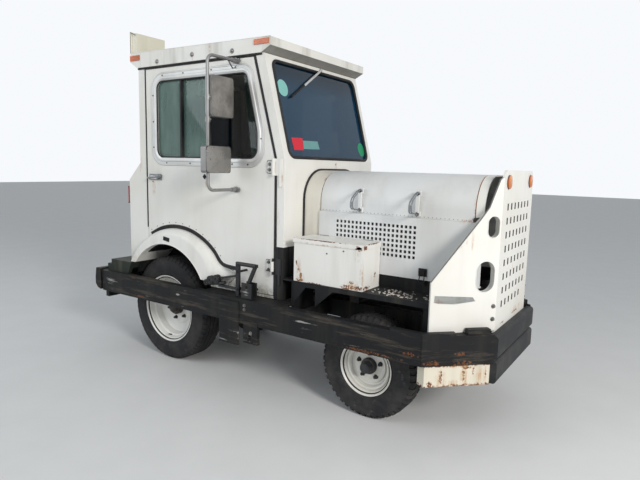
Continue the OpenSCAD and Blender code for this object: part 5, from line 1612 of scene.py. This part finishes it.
class TUG_OT_stage(bpy.types.Operator):
    """Lays the floor and sets the lights, the sky and the camera"""

    bl_idname = "tug.stage"
    bl_label = "Stage"

    def light(self, name, place, target, size, power, tone):
        """Round area light at place that shines at target, both in metres."""
        lamp = bpy.data.lights.new(name, "AREA")
        lamp.color = tone
        lamp.shape = "DISK"
        lamp.size = size
        lamp.energy = power
        holder = bpy.data.objects.new(name, lamp)
        holder.location = place
        holder.rotation_mode = "QUATERNION"
        holder.rotation_quaternion = (Vector(target) - Vector(place)).to_track_quat("-Z", "Y")
        bpy.context.scene.collection.objects.link(holder)

    def sky(self, strength):
        """Soft light from all round, and a plain white sky where the camera or a reflection sees it."""
        world = bpy.data.worlds.new("studio")
        bpy.context.scene.world = world
        world.use_nodes = True
        tree = world.node_tree
        tree.nodes.clear()
        path = tree.nodes.new("ShaderNodeLightPath")
        seen = path.outputs["Is Camera Ray"]
        for ray in ("Is Transmission Ray", "Is Glossy Ray"):
            larger = tree.nodes.new("ShaderNodeMath")
            larger.operation = "MAXIMUM"
            tree.links.new(seen, larger.inputs[0])
            tree.links.new(path.outputs[ray], larger.inputs[1])
            seen = larger.outputs[0]
        mix = tree.nodes.new("ShaderNodeMixShader")
        tree.links.new(seen, mix.inputs[0])
        for socket, tone, level in ((1, (0.88, 0.94, 1.0), strength), (2, (0.93, 0.95, 0.98), 1.0)):
            background = tree.nodes.new("ShaderNodeBackground")
            background.inputs["Color"].default_value = (*tone, 1)
            background.inputs["Strength"].default_value = level
            tree.links.new(background.outputs[0], mix.inputs[socket])
        out = tree.nodes.new("ShaderNodeOutputWorld")
        tree.links.new(mix.outputs[0], out.inputs["Surface"])

    def camera(self):
        """The photograph's own camera."""
        data = bpy.data.cameras.new("viewpoint")
        data.sensor_width = 36
        data.lens = VIEW_FOCAL / VIEW_WIDTH * data.sensor_width
        data.clip_end = 200
        yaw, pitch, roll = (math.radians(turn) for turn in VIEW_TURNS)
        ahead = Vector((-math.sin(yaw) * math.cos(pitch), math.cos(yaw) * math.cos(pitch),
                        -math.sin(pitch)))
        right = Vector((math.cos(yaw), math.sin(yaw), 0))
        down = ahead.cross(right)
        across = right * math.cos(roll) + down * math.sin(roll)
        below = down * math.cos(roll) - right * math.sin(roll)
        holder = bpy.data.objects.new("viewpoint", data)
        axes = Matrix((across, -below, -ahead)).transposed()
        holder.rotation_mode = "QUATERNION"
        holder.rotation_quaternion = axes.to_quaternion()
        holder.location = at(*VIEW_PLACE)
        bpy.context.scene.collection.objects.link(holder)
        bpy.context.scene.camera = holder

    def execute(self, context):
        stage = context.scene.tug_stage
        bm = bmesh.new()
        bmesh.ops.create_grid(bm, x_segments=1, y_segments=1, size=30)
        mesh = bpy.data.meshes.new("floor")
        bm.to_mesh(mesh)
        bm.free()
        floor = bpy.data.objects.new("floor", mesh)
        plain_finish("pale_floor", stage.floor, 0.85, grain=8, depth=0.05, variation=0.03)
        mesh.materials.append(PALETTE["pale_floor"])
        context.scene.collection.objects.link(floor)
        self.light("key", (5.9, -3.1, 3.2), (0, 0, 0.9), 1.6, stage.key, (1.0, 0.975, 0.94))
        self.light("fill", (-3.5, -5.5, 3.0), (0, 0, 0.9), 4.0, stage.fill, (0.90, 0.95, 1.0))
        self.sky(stage.sky)
        self.camera()
        context.scene.view_settings.view_transform = "Standard"
        return {"FINISHED"}


OPERATORS = (
    TUG_OT_stage, TUG_OT_finishes, TUG_OT_wheels, TUG_OT_cab_trim, TUG_OT_windows, TUG_OT_mirrors,
    TUG_OT_bonnet_trim, TUG_OT_shield_trim, TUG_OT_rail_trim, TUG_OT_cab_inside,
)


class TUG_PT_panel(bpy.types.Panel):
    """Lists the tug's operators and settings"""

    bl_label = "Airport baggage tug"
    bl_idname = "TUG_PT_panel"
    bl_space_type = "VIEW_3D"
    bl_region_type = "UI"
    bl_category = "Tug"

    def draw(self, context):
        for group in (context.scene.tug_colours, context.scene.tug_sizes, context.scene.tug_stage):
            box = self.layout.box()
            for name in group.__annotations__:
                box.prop(group, name)
        for operator in OPERATORS:
            self.layout.operator(operator.bl_idname)


CLASSES = (TugColours, TugSizes, TugStage, *OPERATORS, TUG_PT_panel)


def register():
    for item in CLASSES:
        bpy.utils.register_class(item)
    bpy.types.Scene.tug_colours = PointerProperty(type=TugColours)
    bpy.types.Scene.tug_sizes = PointerProperty(type=TugSizes)
    bpy.types.Scene.tug_stage = PointerProperty(type=TugStage)


def unregister():
    del bpy.types.Scene.tug_stage
    del bpy.types.Scene.tug_sizes
    del bpy.types.Scene.tug_colours
    for item in reversed(CLASSES):
        bpy.utils.unregister_class(item)


def main():
    register()
    bpy.ops.tug.stage()
    bpy.ops.tug.finishes()
    bpy.ops.tug.wheels()
    bpy.ops.tug.cab_trim()
    bpy.ops.tug.windows()
    bpy.ops.tug.mirrors()
    bpy.ops.tug.bonnet_trim()
    bpy.ops.tug.shield_trim()
    bpy.ops.tug.rail_trim()
    bpy.ops.tug.cab_inside()


if __name__ == "__main__":
    main()
